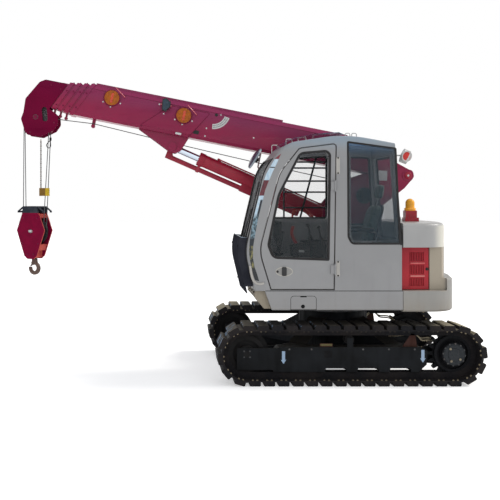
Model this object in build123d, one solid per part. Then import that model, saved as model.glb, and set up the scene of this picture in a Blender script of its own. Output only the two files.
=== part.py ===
# Crawler crane with a five-part telescopic boom, built as separate named pieces.
# Millimetres. +X is forward, +Y is the driver's left, +Z is up.
# The origin is on the ground, under the axis on which the upper works turn.

from build123d import *
from math import atan2, cos, degrees, hypot, pi, radians, sin, tan
import os

os.makedirs("parts", exist_ok=True)

# Clearances
seat_gap = 0.3  # between pieces that rest or run on each other
fit_gap = 0.3  # round a pin, an axle or a rod, on the radius
door_gap = 8.0  # round the cab door

# Crawler tracks
track_gauge = 1870.0  # between the centre lines of the two tracks
wheel_base = 2240.0  # from idler to sprocket
track_radius = 325.0  # from a wheel's centre to the outside of the pads
shoe_count = 40
shoe_width = 450.0
pad_height = 46.0
pad_length = 122.0
pad_chamfer = 10.0
shoe_plate = 14.0
shoe_length = 146.0
rail_height = 66.0
rail_width = 30.0
rail_space = 70.0  # between the two rows of links
sprocket_teeth = 19
tooth_clearance = 8.0
hub_radius = 130.0

# Roller frames
frame_half_width = 100.0
frame_cheek = 14.0
frame_top = 400.0
frame_crown = 300.0  # underside of the frame's top, above the rollers
frame_bottom = 172.0
frame_end = wheel_base / 2 - 290  # from the middle to each end of the box
roller_radius = 60.0
roller_flange = 12.0
roller_pitch = 350.0
roller_middle = -20.0  # of the row of rollers, from the middle of the frame
roller_count = 5
yoke_low = 170.0  # the yoke's lower edge below the wheel's centre
carrier_radius = 50.0
axle_radius = 34.0

# Middle of the undercarriage
pedestal_radius = 400.0
pedestal_top = 700.0
leg_width = 230.0
leg_angle = 36.0  # of each leg from the line across the machine
leg_bottom = 230.0
leg_crown = 640.0
leg_foot = 395.0
bearing_height = 70.0
bearing_inner = 300.0
bearing_outer = 392.0
lashing_hole = 22.0
lashing_plate = 25.0

# Upper works
deck_bottom = 820.0
deck_plate = 34.0
deck_front = 930.0
upper_half_width = 1100.0
deck_half_width = upper_half_width - 60  # inside the skirts
cab_floor = 1018.0  # underside of the cab and top of the skirts
skirt_bottom = 808.0
tail_start = -560.0  # where the counterweight's arms begin
tail_side_end = -930.0  # where its flat side turns into the corner
tail_radius = 1240.0  # furthest reach of the lower tail
upper_tail = 1150.0  # furthest reach above the step
step_height = 1150.0
pocket_top = 1486.0
pocket_depth = 105.0
pocket_end = -1050.0
louvre_length = 312.0
louvre_thickness = 40.0
louvre_hinge_x = -562.0
hood_top = 1748.0
hood_wall = 26.0
bay_back = -1000.0
bay_half_width = 885.0

# Cab
cab_left = 1100.0
cab_right = 130.0
cab_wall = 45.0
glass = 6.0
glass_rebate = 10.0
cab_rear = -544.0
door_hinge_x = 178.0
door_hinge_out = 20.0  # hinge axis outside the cab's side

# Boom, in its own frame: x along it from its foot pin, z square to it
boom_y = -220.0
pivot_x = -905.0
pivot_z = 2289.0
boom_angle = 11.24
boom_half_width = 180.0
boom_under = -60.0
boom_over = 345.0
boom_front = 3945.0  # top of the base part's front end
end_slant = 25.4  # of each front end, its foot forward
section_step = 12.0  # from one part's outside to the next part's outside
section_wall = 5.5
section_reveal = 81.0  # how far each part stands out of the one before
collar_proud = 9.0
collar_length = 52.0
section_rear = 850.0
pivot_boss = 78.0
pivot_pin = 32.0
cheek_plate = 12.0
cover_height = 24.0
bracket_skin = 6.0

# Boom head and hoist rope
sheave_x = 4533.0
sheave_z = -176.0
head_sheave_pitch = 155.0
block_sheave_pitch = 150.0
sheave_spacing = 62.0  # between the two sheaves of a pair
sheave_width = 36.0
rope_radius = 5.0
head_plate = 12.0
block_x = 3605.0
block_z = 1616.0
block_yaw = -28.0  # how far the hanging block has turned
block_half_gap = 74.0  # inside faces of its side plates
block_plate = 14.0

# Lift cylinder
foot_x = 0.0
foot_z = 1800.0
rod_pin_x = 2844.0  # in the boom's frame
rod_pin_z = -203.0
barrel_radius = 78.0
rod_radius = 42.0
barrel_end = 1745.0  # from the foot pin, along the cylinder
eye_radius = 66.0
eye_half_width = 60.0
cylinder_pin = 32.0
guide_drop = 124.0
guide_radius = 30.0
guide_start = 430.0

# Mast and winch
mast_gap = 14.0  # between the boom's side and the mast's plates
mast_plate = 20.0
winch_x = -380.0
winch_z = 2050.0
drum_radius = 112.0
drum_flange = 160.0


def outline(points, radius=0.0):
    """Closed face through the points, its corners rounded."""
    if radius:
        return make_face(FilletPolyline(*points, radius=radius, close=True))
    return make_face(Polyline(*points, close=True))


def across(face, y0, y1):
    """A face drawn in X and Z, made solid from y0 to y1."""
    return Pos(0, y1, 0) * extrude(Plane.XZ * face, y1 - y0)


def upright(face, z0, z1):
    """A face drawn in X and Y, made solid from z0 to z1."""
    return Pos(0, 0, z0) * extrude(face, z1 - z0)


def block(x0, x1, y0, y1, z0, z1):
    """Box between three pairs of limits."""
    return Pos((x0 + x1) / 2, (y0 + y1) / 2, (z0 + z1) / 2) * Box(x1 - x0, y1 - y0, z1 - z0)


def bar_y(x, z, y0, y1, radius):
    """Round bar along Y."""
    return Pos(x, (y0 + y1) / 2, z) * Rot(90, 0, 0) * Cylinder(radius, y1 - y0)


def bar_z(x, y, z0, z1, radius):
    """Round bar along Z."""
    return Pos(x, y, (z0 + z1) / 2) * Cylinder(radius, z1 - z0)


def rod(start, end, radius):
    """Round bar from one point to another."""
    direction = Vector(*end) - Vector(*start)
    place = Plane(origin=start, z_dir=direction)
    return place * Pos(0, 0, direction.length / 2) * Cylinder(radius, direction.length)


def turned(profile):
    """Body turned about Y from (radius, y) points."""
    face = make_face(Polyline(*[(r, y) for r, y in profile], close=True))
    return revolve(face, Axis.Y)


def both_sides(shape):
    """The shape and its mirror image across the machine."""
    return [shape, mirror(shape, Plane.XZ)]


def save(name, *shapes):
    """Writes one node: its solids, each kept separate."""
    solids = []
    for shape in shapes:
        items = shape if isinstance(shape, (list, tuple)) else [shape]
        for item in items:
            solids.extend(item.solids())
    whole = solids[0] if len(solids) == 1 else Compound(children=solids)
    export_step(whole, f"parts/{name}.step")


# Crawler tracks

wheel_z = track_radius
plate_out = track_radius - pad_height
plate_in = plate_out - shoe_plate
rail_in = plate_in - rail_height
half_base = wheel_base / 2
rail_out = rail_space / 2 + rail_width


def on_loop(share):
    """Point and outward direction on the shoes' middle line, for a share of the way round."""
    radius = plate_in
    length = 2 * wheel_base + 2 * pi * radius
    s = (share % 1.0) * length
    if s < wheel_base:
        return (-half_base + s, wheel_z + radius), (0, 1)
    s -= wheel_base
    if s < pi * radius:
        a = pi / 2 - s / radius
        return (half_base + radius * cos(a), wheel_z + radius * sin(a)), (cos(a), sin(a))
    s -= pi * radius
    if s < wheel_base:
        return (half_base - s, wheel_z - radius), (0, -1)
    s -= wheel_base
    a = -pi / 2 - s / radius
    return (-half_base + radius * cos(a), wheel_z + radius * sin(a)), (cos(a), sin(a))


def slot(radius):
    """Long round-ended face round both wheels."""
    return Pos(0, wheel_z) * SlotCenterToCenter(wheel_base, 2 * radius)


def track():
    """One fixed loop: rubber pads on steel shoes, and the two rows of links inside them."""
    high = shoe_plate + pad_height
    # along the shoe, height above its inner face
    profile = [
        (-shoe_length / 2, shoe_plate),
        (-pad_length / 2, shoe_plate),
        (-pad_length / 2, high - pad_chamfer),
        (-pad_length / 2 + pad_chamfer, high),
        (pad_length / 2 - pad_chamfer, high),
        (pad_length / 2, high - pad_chamfer),
        (pad_length / 2, shoe_plate),
        (shoe_length / 2, shoe_plate),
    ]
    points = []
    for i in range(shoe_count):
        (x, z), (nx, nz) = on_loop((i + 0.5) / shoe_count)
        points += [(x + nz * along + nx * up, z - nx * along + nz * up) for along, up in profile]
    y = track_gauge / 2
    band = across(outline(points) - slot(plate_in), y - shoe_width / 2, y + shoe_width / 2)
    rails = slot(plate_in + 1) - slot(rail_in)
    for side in (-1, 1):
        inner, outer = side * rail_space / 2, side * rail_out
        band += across(rails, y + min(inner, outer), y + max(inner, outer))
    return band


def idler():
    """Front wheel: two treads, a guide flange that runs between the links, and its axle."""
    tread = rail_in - seat_gap
    flange_half = rail_space / 2 - 4
    hub_half = frame_half_width - frame_cheek - 6
    wheel = turned(
        [
            (0, -hub_half),
            (90, -hub_half),
            (90, -30),
            (150, -22),
            (150, -rail_out),
            (tread, -rail_out),
            (tread, -flange_half),
            (plate_in - tooth_clearance - 12, -flange_half + 8),
            (plate_in - tooth_clearance - 12, flange_half - 8),
            (tread, flange_half),
            (tread, rail_out),
            (150, rail_out),
            (150, 22),
            (90, 30),
            (90, hub_half),
            (0, hub_half),
        ]
    )
    wheel += bar_y(0, 0, -frame_half_width, frame_half_width, axle_radius)
    return Pos(half_base, track_gauge / 2, wheel_z) * wheel


def sprocket():
    """Toothed drive wheel with its final drive hub, whose cover shows on the outside."""
    tip = plate_in - tooth_clearance
    root = rail_in + 8
    points = []
    for i in range(sprocket_teeth):
        for turn, radius in ((-0.34, root), (-0.16, tip), (0.16, tip), (0.34, root)):
            a = 2 * pi * (i + turn) / sprocket_teeth
            points.append((radius * cos(a), radius * sin(a)))
    tooth_half = rail_space / 2 - 9
    wheel = across(outline(points), -tooth_half, tooth_half)
    wheel += bar_y(0, 0, -rail_out, rail_out, rail_in - seat_gap)
    wheel -= turned([(hub_radius + 6, 30), (168, 30), (168, rail_out + 1), (hub_radius + 6, rail_out + 1)])
    hub = turned(
        [
            (0, -frame_half_width - 46),
            (86, -frame_half_width - 46),
            (100, -frame_half_width - 30),
            (100, rail_out),
            (hub_radius, rail_out),
            (hub_radius, 118),
            (104, 138),
            (70, 138),
            (66, 146),
            (0, 146),
        ]
    )
    return Pos(-half_base, track_gauge / 2, wheel_z) * (wheel + hub)


def rollers():
    """Track rollers that run on the lower links, and the carrier roller under the upper ones."""
    end = frame_half_width - frame_cheek - seat_gap
    made = []
    tread = [(roller_radius, -rail_out - 2), (roller_radius + roller_flange, -rail_out - 5)]
    for i in range(roller_count):
        half = [(0, -end), (30, -end), (roller_radius + roller_flange, -rail_out - 12), *reversed(tread)]
        wheel = turned([*half, *[(r, -y) for r, y in reversed(half)]])
        x = roller_middle + (i - (roller_count - 1) / 2) * roller_pitch
        made.append(Pos(x, track_gauge / 2, wheel_z - rail_in + roller_radius + seat_gap) * wheel)
    carrier = turned(
        [(0, -end), (24, -end), (24, -rail_out - 3), (carrier_radius, -rail_out)]
        + [(carrier_radius, rail_out), (24, rail_out + 3), (24, end), (0, end)]
    )
    made.append(Pos(0, track_gauge / 2, wheel_z + rail_in - carrier_radius - seat_gap) * carrier)
    return made


def side_frame():
    """Roller frame: an open-bottomed box, notched between the rollers, with yokes at both ends."""
    y = track_gauge / 2
    w = frame_half_width
    side = [
        (-frame_end, frame_bottom + 40),
        (-frame_end + 90, frame_bottom - 40),
        (frame_end, frame_bottom - 40),
        (frame_end + 10, frame_top - 40),
        (frame_end - 60, frame_top),
        (-frame_end + 60, frame_top),
        (-frame_end - 10, frame_top - 40),
    ]
    frame = across(outline(side), y - w, y + w)
    inner_end = frame_end - frame_cheek
    frame -= block(-inner_end, inner_end, y - w + frame_cheek, y + w - frame_cheek, 0, frame_crown)
    # the front rollers stay behind the cheeks
    for i in range(roller_count - 2):
        x = roller_middle + (i + 1 - roller_count / 2) * roller_pitch
        notch = [(x - 125, 100), (x + 125, 100), (x + 108, frame_bottom), (x - 108, frame_bottom)]
        frame -= across(outline(notch), y - w - 1, y + w + 1)
    # yoke for the idler and arms for the final drive
    for side in (-1, 1):
        face0, face1 = sorted((side * (w - frame_cheek - 6 + seat_gap), side * w))
        arm = block(frame_end - 30, half_base + 110, y + face0, y + face1, wheel_z - yoke_low, wheel_z + 65)
        frame += arm - bar_y(half_base, wheel_z, y - w - 1, y + w + 1, axle_radius + fit_gap)
    inner = across(
        outline(
            [(-frame_end + 20, wheel_z - 120), (-frame_end + 20, frame_top - 40)]
            + [(-half_base, wheel_z + 150), (-half_base - 130, wheel_z + 90)]
            + [(-half_base - 130, wheel_z - 90), (-half_base, wheel_z - 150)]
        ),
        y - w - 4,
        y - w + 16,
    )
    frame += inner
    frame -= bar_y(-half_base, wheel_z, y - w - 5, y - w + 17, 100 + fit_gap)
    # posts of the carrier roller
    post_top = wheel_z + rail_in - carrier_radius
    for side in (-1, 1):
        face0, face1 = sorted((side * (w - frame_cheek), side * w))
        frame += block(-32, 32, y + face0, y + face1, frame_top - 2, post_top + 26)
    return frame


def car_body():
    """Middle of the undercarriage: a round pedestal on four sloping legs, with a lashing eye at each end."""
    reach = track_gauge / 2 - frame_half_width
    body = bar_z(0, 0, leg_bottom + 60, pedestal_top, pedestal_radius)
    # distance from the middle, height
    profile = [(0, leg_bottom), (reach + 500, leg_bottom), (reach + 500, leg_foot)]
    profile += [(reach + 60, leg_foot), (pedestal_radius - 20, leg_crown), (0, leg_crown)]
    for turn in (90 - leg_angle, 90 + leg_angle, 270 - leg_angle, 270 + leg_angle):
        body += Rot(0, 0, turn) * across(outline(profile), -leg_width / 2, leg_width / 2)
    body &= block(-1300, 1300, -reach, reach, leg_bottom, pedestal_top)
    body -= bar_z(0, 0, leg_bottom - 1, pedestal_top + 1, bearing_inner - 60)
    for end in (-1, 1):
        plate = outline([(0, -60), (150, -60), (185, -20), (185, 30), (150, 70), (0, 130)], 18)
        eye = upright(Pos(0, -35) * plate, 0, lashing_plate)
        eye -= bar_z(140, -30, -1, lashing_plate + 1, lashing_hole)
        body += Rot(0, 0, 0 if end > 0 else 180) * Pos(pedestal_radius - 22, 0, leg_bottom + 150) * eye
    return body


def swing_bearing():
    """Slewing ring that the upper works turn on."""
    ring = bar_z(0, 0, pedestal_top, pedestal_top + bearing_height, bearing_outer)
    return ring - bar_z(0, 0, pedestal_top - 1, pedestal_top + bearing_height + 1, bearing_inner)


# Upper works

mast_inner = boom_half_width + mast_gap
mast_outer = mast_inner + mast_plate
deck_top = deck_bottom + deck_plate
tank_inner = -boom_y + mast_outer + 60  # from the middle to the tanks' inside face


def revolving_frame():
    """Deck that carries everything above, with its beams and the flange on the slewing ring."""
    plan = [
        (bay_back + 10, -bay_half_width + 10),
        (tail_start + seat_gap, -bay_half_width + 10),
        (tail_start + seat_gap, -deck_half_width),
        (deck_front - 70, -deck_half_width),
        (deck_front - 70, deck_half_width),
        (tail_start + seat_gap, deck_half_width),
        (tail_start + seat_gap, bay_half_width - 10),
        (bay_back + 10, bay_half_width - 10),
    ]
    deck = upright(outline(plan), deck_bottom, deck_top)
    ring = bar_z(0, 0, pedestal_top + bearing_height + seat_gap, deck_bottom, bearing_outer - 14)
    deck += ring - bar_z(0, 0, pedestal_top, deck_bottom + 1, bearing_inner + 8)
    deck -= bar_z(0, 0, deck_bottom - 1, deck_top + 1, bearing_inner - 100)
    # beams under the cab and the tanks: y from and to
    for y0, y1 in ((cab_right + 10, cab_right + 80), (deck_half_width - 60, deck_half_width)):
        deck += block(tail_start + 20, deck_front - 70, y0, y1, deck_top, cab_floor)
    deck += block(tail_start + 20, deck_front - 90, -deck_half_width, -deck_half_width + 60, deck_top, cab_floor)
    deck += block(tail_start + 20, deck_front - 90, -560, -500, deck_top, cab_floor)
    deck += block(deck_front - 130, deck_front - 70, -deck_half_width, deck_half_width, deck_top, cab_floor)
    return deck


def deck_skirts():
    """Long side panels under the cab and the tanks, cut back at the front."""
    side = outline(
        [(deck_front + 2, cab_floor), (deck_front - 73, skirt_bottom + 5), (deck_front - 90, skirt_bottom)]
        + [(tail_start + 5, skirt_bottom), (tail_start + 5, cab_floor)]
    )
    panel = across(side, deck_half_width + seat_gap, upper_half_width)
    edge = panel.edges().group_by(Axis.Z)[0].filter_by(Axis.X).sort_by(Axis.Y)[-1]
    return both_sides(fillet(edge, 22))


def front_apron():
    """Bent plate with cleated edge in front of the deck, under the cab's front."""
    x = deck_front - 70
    plate = outline(
        [(x + 165, cab_floor - 8), (x + 178, cab_floor - 60), (x + 76, skirt_bottom + 12)]
        + [(x + seat_gap, skirt_bottom + 12), (x + seat_gap, cab_floor - 8)]
    )
    apron = across(plate, 175, deck_half_width - 4)
    hollow = outline(
        [(x + 158, cab_floor + 5), (x + 168, cab_floor - 62), (x + 70, skirt_bottom + 22)]
        + [(x - 5, skirt_bottom + 22), (x - 5, cab_floor + 5)]
    )
    apron -= across(hollow, 187, deck_half_width - 16)
    for i in range(5):
        z = cab_floor - 75 - i * 22
        apron += block(x + 118 - i * 20, x + 176 - i * 20, 175, deck_half_width - 4, z - 4, z + 4)
    return apron


def tail_plan(reach, half_width=upper_half_width):
    """Plan of the tail: flat sides, then turned corners and a round back that reaches that far."""
    points = [(tail_start, half_width), (-reach + 130, half_width), (-reach - 12, 430)]
    points += [(-reach - 12, -430), (-reach + 130, -half_width), (tail_start, -half_width)]
    return make_face(FilletPolyline(*points, radius=[0, 300, 700, 700, 300, 0], close=True))


def round_tail(body, top, radius):
    """Rounds the tail's lower or upper outline, but not its open front."""
    edges = body.edges().group_by(Axis.Z)[-1 if top else 0]
    return fillet([e for e in edges if e.center().X < tail_start - 1], radius)


def counterweight():
    """Cast tail: a lower band that wraps the deck, a step, and a back wall with a pocket at each side."""
    low = upright(tail_plan(tail_radius), skirt_bottom - 18, step_height)
    low = round_tail(round_tail(low, False, 34), True, 24)
    body = low + upright(tail_plan(upper_tail), step_height - 40, pocket_top)
    body -= block(bay_back, tail_start + 1, -bay_half_width, bay_half_width, 0, pocket_top + 1)
    pocket_y = upper_half_width - pocket_depth
    for side in (-1, 1):
        y0, y1 = sorted((side * pocket_y, side * (upper_half_width + 50)))
        body -= block(pocket_end, tail_start + 1, y0, y1, cab_floor, pocket_top + 1)
        y0, y1 = sorted((side * (bay_half_width - 1), side * (pocket_y + 1)))
        body -= block(tail_start - louvre_length, tail_start + 1, y0, y1, cab_floor, pocket_top + 1)
    return body


def engine_hood():
    """Engine cover: a deep lid with rounded top edges, open below."""
    plan = tail_plan(upper_tail)
    lid = round_tail(upright(plan, pocket_top + seat_gap, hood_top), True, 46)
    inside = offset(plan, -hood_wall, kind=Kind.INTERSECTION)
    return lid - upright(inside, pocket_top - 1, hood_top - hood_wall)


def louvre_door():
    """Side door of the engine bay, hinged at its front edge, with slotted vents in three rows."""
    y1 = upper_half_width - pocket_depth - 4
    y0 = y1 - louvre_thickness
    x0, x1 = tail_start - louvre_length + 10, louvre_hinge_x
    door = block(x0, x1, y0, y1, cab_floor + 6, pocket_top - 6)
    # bottom and top of each row of vents
    for z0, z1 in ((1060, 1150), (1190, 1290), (1330, 1430)):
        for i in range(9):
            x = x0 + 58 + i * 18
            door -= block(x - 5, x + 5, y1 - 18, y1 + 1, z0, z1)
    # folded stiffeners between the rows
    for z in (1170, 1310):
        door += block(x0 + 48, x0 + 208, y1 - 1, y1 + 7, z - 6, z + 6)
    # hinge rod, which stands on the floor of the pocket
    door += bar_z(louvre_hinge_x, y1 + 4, cab_floor + seat_gap, pocket_top - 6, 6)
    return door


def engine():
    """Closed in, so one plain block on the deck."""
    return block(bay_back + 40, tail_start - 70, -520, 360, deck_top, deck_top + 560)


def hydraulic_tank():
    """Housing on the right, behind the tank, with a rounded top."""
    body = block(tail_start + 5, 240, -upper_half_width, -tank_inner, cab_floor, hood_top - 60)
    tops = body.edges().group_by(Axis.Z)[-1]
    return fillet(tops, 40)


def fuel_tank():
    """Lower box at the right front, with a sloping nose, tread steps and a filler."""
    side = outline(
        [(240 + seat_gap, cab_floor), (deck_front - 30, cab_floor), (deck_front - 10, cab_floor + 130)]
        + [(deck_front - 210, cab_floor + 380), (240 + seat_gap, cab_floor + 400)],
        20,
    )
    body = across(side, -upper_half_width, -tank_inner)
    body += bar_z(420, -upper_half_width + 190, cab_floor + 380, cab_floor + 440, 48)
    for i in range(2):
        x = deck_front - 62 - i * 105
        z = cab_floor + 150 + i * 125
        body -= block(x, x + 200, -upper_half_width + 90, -tank_inner - 90, z, z + 60)
    return body


mast_shape = [
    (pivot_x + 37, pivot_z - 149),
    (pivot_x - 76, pivot_z - 16),
    (pivot_x - 62, pivot_z + 62),
    (pivot_x + 70, pivot_z + 92),
    (-520, 2340),
    (-160, 2230),
    (110, 1900),
    (120, 1690),
    (60, 1250),
    (150, deck_top),
    (-540, deck_top),
    (-540, 1880),
]
mast_radii = [60, 40, 50, 30, 120, 160, 60, 60, 80, 0, 0, 60]


def boom_mast():
    """Two tall plates that hold the boom's foot, the winch and the lift cylinder, tied by tubes."""
    face = make_face(FilletPolyline(*mast_shape, radius=mast_radii, close=True))
    mast = None
    for side in (-1, 1):
        y0, y1 = sorted((boom_y + side * mast_inner, boom_y + side * mast_outer))
        plate = across(face, y0, y1)
        # stiffening flange down the front edge, on the outside
        flange = block(-30, 60, *sorted((boom_y + side * (mast_outer - 1), boom_y + side * (mast_outer + 45))), deck_top, 1240)
        plate += flange
        # boss round each pin: x, z, radius
        for x, z, radius in ((pivot_x, pivot_z, 66), (foot_x, foot_z, 60)):
            out0, out1 = sorted((boom_y + side * (mast_outer - 1), boom_y + side * (mast_outer + 10)))
            plate += bar_y(x, z, out0, out1, radius)
        mast = plate if mast is None else mast + plate
    # ties between the plates: x, z, radius
    for x, z, radius in ((-470, 1500, 45), (-40, 1380, 45), (-600, 2060, 38)):
        mast += bar_y(x, z, boom_y - mast_inner - 1, boom_y + mast_inner + 1, radius)
    wide = boom_y - mast_outer - 12, boom_y + mast_outer + 12
    mast -= bar_y(pivot_x, pivot_z, *wide, pivot_pin)
    mast -= bar_y(foot_x, foot_z, *wide, cylinder_pin)
    mast -= bar_y(winch_x, winch_z, *wide, 52)
    return mast


def mast_pins():
    """Pins of the boom's foot and of the lift cylinder's foot."""
    reach = mast_outer + 22
    return [
        bar_y(pivot_x, pivot_z, boom_y - reach, boom_y + reach, pivot_pin),
        bar_y(foot_x, foot_z, boom_y - reach, boom_y + reach, cylinder_pin),
    ]


def winch_motor():
    """Hydraulic motor and gear case bolted outside the left plate, over the drum's end."""
    y = boom_y + mast_outer
    case = bar_y(winch_x, winch_z, y, y + 26, 98) + bar_y(winch_x, winch_z, y + 20, y + 78, 74)
    case += block(winch_x - 40, winch_x + 40, y + 60, y + 112, winch_z - 52, winch_z + 58)
    return case + bar_y(winch_x, winch_z, y - mast_plate, y + 1, 52 - fit_gap)


def winch_drum():
    """Rope drum between the plates, with the wound rope as plain grooves."""
    end = mast_inner - 6
    flange = 14
    half = [(0, -end), (drum_flange, -end), (drum_flange, -end + flange), (drum_radius, -end + flange)]
    turns = 15
    pitch = 2 * (end - flange) / turns
    middle = []
    for i in range(turns):
        y = -end + flange + i * pitch
        middle += [(drum_radius, y + 1), (drum_radius + 6, y + pitch / 2), (drum_radius, y + pitch - 1)]
    drum = turned([*half, *middle[1:-1], *[(r, -y) for r, y in reversed(half)]])
    drum += bar_y(0, 0, -mast_outer, -end + 1, 52 - fit_gap)
    return Pos(winch_x, boom_y, winch_z) * drum


# Cab


cab_points = [(1040, cab_floor), (1142, 1440), (930, 2330), (705, 2615), (60, 2712), (-469, 2613), (cab_rear, 1513)]
cab_points += [(cab_rear, cab_floor)]
cab_radii = [0, 500, 500, 300, 1500, 0, 0, 0]
door_points = [(866, 1034), (992, 1450), (772, 2290), (560, 2556), (166, 2606), (188, 1034)]
door_radii = [0, 400, 350, 40, 30, 0]


def cab_face():
    """Side view of the cab: a bulging front, a round brow and a slightly arched roof."""
    return make_face(FilletPolyline(*cab_points, radius=cab_radii, close=True))


def door_face(grow=0.0):
    """Side view of the door, its front edge following the front pillar."""
    face = make_face(FilletPolyline(*door_points, radius=door_radii, close=True))
    return offset(face, grow, kind=Kind.INTERSECTION) if grow else face


door_window = [(556, 2512), (222, 2540), (240, 1346), (850, 1368), (905, 1510), (792, 2060)]
door_window_radii = [90, 65, 14, 85, 90, 400]
rear_window = [(46, 2632), (-482, 2560), (-530, 1520), (0, 1520), (40, 1600)]
rear_window_radii = [14, 20, 12, 60, 60]


def pane_face(points, radii, shrink=0.0):
    """Window outline, made smaller for the pane or the hole inside the rebate."""
    face = make_face(FilletPolyline(*points, radius=radii, close=True))
    return offset(face, -shrink, kind=Kind.INTERSECTION) if shrink else face


def cab_shell():
    """Hollow cab: pillars, roof, lower panels and floor, with rebated window holes."""
    face = cab_face()
    shell = across(face, cab_right, cab_left)
    # round the long outer corners between the sides and the front, brow and roof
    sides = [e for e in shell.edges() if min(abs(e.center().Y - y) for y in (cab_left, cab_right)) < 1]
    shell = fillet([e for e in sides if e.center().Z > cab_floor + 5 and e.center().X > cab_rear + 60], 26)
    inner = offset(face, -cab_wall, kind=Kind.INTERSECTION)
    shell -= across(inner, cab_right + cab_wall, cab_left - cab_wall)
    # door, side windows, windscreen, rear window and roof light
    shell -= across(door_face(door_gap), cab_left - cab_wall - 1, cab_left + 1)
    shell -= across(pane_face(rear_window, rear_window_radii), cab_left - glass_rebate, cab_left + 1)
    shell -= across(pane_face(rear_window, rear_window_radii, 38), cab_left - cab_wall - 1, cab_left + 1)
    for window in (right_front_window, right_rear_window):
        shell -= across(outline(window, 40), cab_right - 1, cab_right + cab_wall + 1)
    shell -= block(600, 1300, cab_right + 60, cab_left - 40, 1110, 2440)
    shell -= across(quarter_face(), cab_left - cab_wall - 1, cab_left + 1)
    shell -= block(cab_rear - 60, cab_rear + 180, cab_right + 95, cab_left - 95, 1560, 2480)
    shell -= block(90, 700, cab_right + 110, cab_left - 110, 2500, 2800)
    return shell


right_front_window = [(560, 2490), (90, 2520), (90, 1775), (960, 1775), (880, 2130)]
right_rear_window = [(20, 2520), (-410, 2500), (-450, 1700), (20, 1700)]


def roof_light_face():
    """Side view of the roof light: a bowed pane that stands on the roof with turned-down ends."""
    top = [(719, 2583.5), (700, 2632), (600, 2676), (380, 2722), (120, 2736), (64, 2712)]
    low = [(74, 2706.5), (122, 2729), (378, 2715), (598, 2669), (694, 2627), (711.6, 2584.5)]
    return outline(top + low)


def quarter_face(shrink=0.0):
    """Narrow side window between the front pillar's tube and the door post."""
    face = cab_face()
    strip = offset(face, -26 - shrink, kind=Kind.INTERSECTION) - offset(face, -78 + shrink, kind=Kind.INTERSECTION)
    limits = outline([(1200, 1130 + shrink), (1200, 2330), (840, 2500 - shrink), (780, 2440), (900, 1800), (940, 1130 + shrink)])
    return strip & limits


def cab_glazing():
    """Fixed panes: left quarter and rear, right front, right rear, windscreen, rear window and roof light."""
    left = across(
        pane_face(rear_window, rear_window_radii, 1.0),
        cab_left - glass_rebate + seat_gap,
        cab_left - glass_rebate + seat_gap + glass,
    )
    right = [
        across(outline([*window], 40), cab_right + 16, cab_right + 16 + glass)
        for window in (right_front_window, right_rear_window)
    ]
    face = cab_face()
    skin = offset(face, -14, kind=Kind.INTERSECTION) - offset(face, -14 - glass, kind=Kind.INTERSECTION)
    curved = across(skin, cab_right + 60, cab_left - 40)
    screen = curved & block(600, 1300, cab_right, cab_left, 1110, 2440)
    back = across(skin, cab_right + 95, cab_left - 95)
    back &= block(cab_rear - 60, cab_rear + 180, cab_right, cab_left, 1560, 2480)
    light = across(roof_light_face(), cab_right + 85, cab_left - 85)
    quarter = across(quarter_face(0.4), cab_left - 14, cab_left - 14 + glass)
    return [left, quarter, *right, screen, back, light]


def cab_door():
    """Door as thick as the cab's side, with a rebated window, a handle recess and two hinge barrels."""
    y0 = cab_left - cab_wall
    door = across(door_face(), y0, cab_left)
    door -= across(pane_face(door_window, door_window_radii), cab_left - glass_rebate, cab_left + 1)
    door -= across(pane_face(door_window, door_window_radii, 24), y0 - 1, cab_left + 1)
    recess = Pos(732, 1236) * Rot(0, 0, 4) * Ellipse(66, 30)
    door -= across(recess, cab_left - 14, cab_left + 1)
    # lever across the recess
    door += block(712, 746, cab_left - 16, cab_left + 6, 1208, 1268)
    for z in (1250, 2150):
        door += bar_z(door_hinge_x, cab_left + door_hinge_out, z - 60, z + 60, 11)
        door += block(door_hinge_x, door_hinge_x + 46, cab_left - 2, cab_left + door_hinge_out, z - 46, z + 46)
    return door


def door_glass():
    """Door pane, flush in its rebate."""
    y = cab_left - glass_rebate + seat_gap
    return across(pane_face(door_window, door_window_radii, 1.0), y, y + glass)


def operator_seat():
    """Seat on its pedestal: cushion, leaning back, headrest and armrests."""
    y = 620
    seat = block(-220, 200, y - 150, y + 150, cab_floor + cab_wall, cab_floor + 330)
    cushion = fillet(block(-260, 260, y - 245, y + 245, cab_floor + 330, cab_floor + 450).edges(), 30)
    back_side = outline(
        [(-190, cab_floor + 440), (-330, cab_floor + 440), (-470, 1960), (-440, 1990), (-340, 1985), (-210, 1500)], 25
    )
    back = across(back_side, y - 230, y + 230)
    head = fillet((Pos(-400, y, 2085) * Rot(0, -10, 0) * Box(90, 250, 190)).edges(), 30)
    posts = [rod((-395, y + s * 60, 1975), (-400, y + s * 60, 2010), 7) for s in (-1, 1)]
    arms = [block(-300, 60, y + s * 285 - 30, y + s * 285 + 30, 1640, 1690) for s in (-1, 1)]
    links = [block(-330, -260, y + s * 245 - 30, y + s * 245 + 30, 1600, 1660) for s in (-1, 1)]
    shape = seat + cushion + back + head
    for piece in (*posts, *arms, *links):
        shape += piece
    return shape


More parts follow.
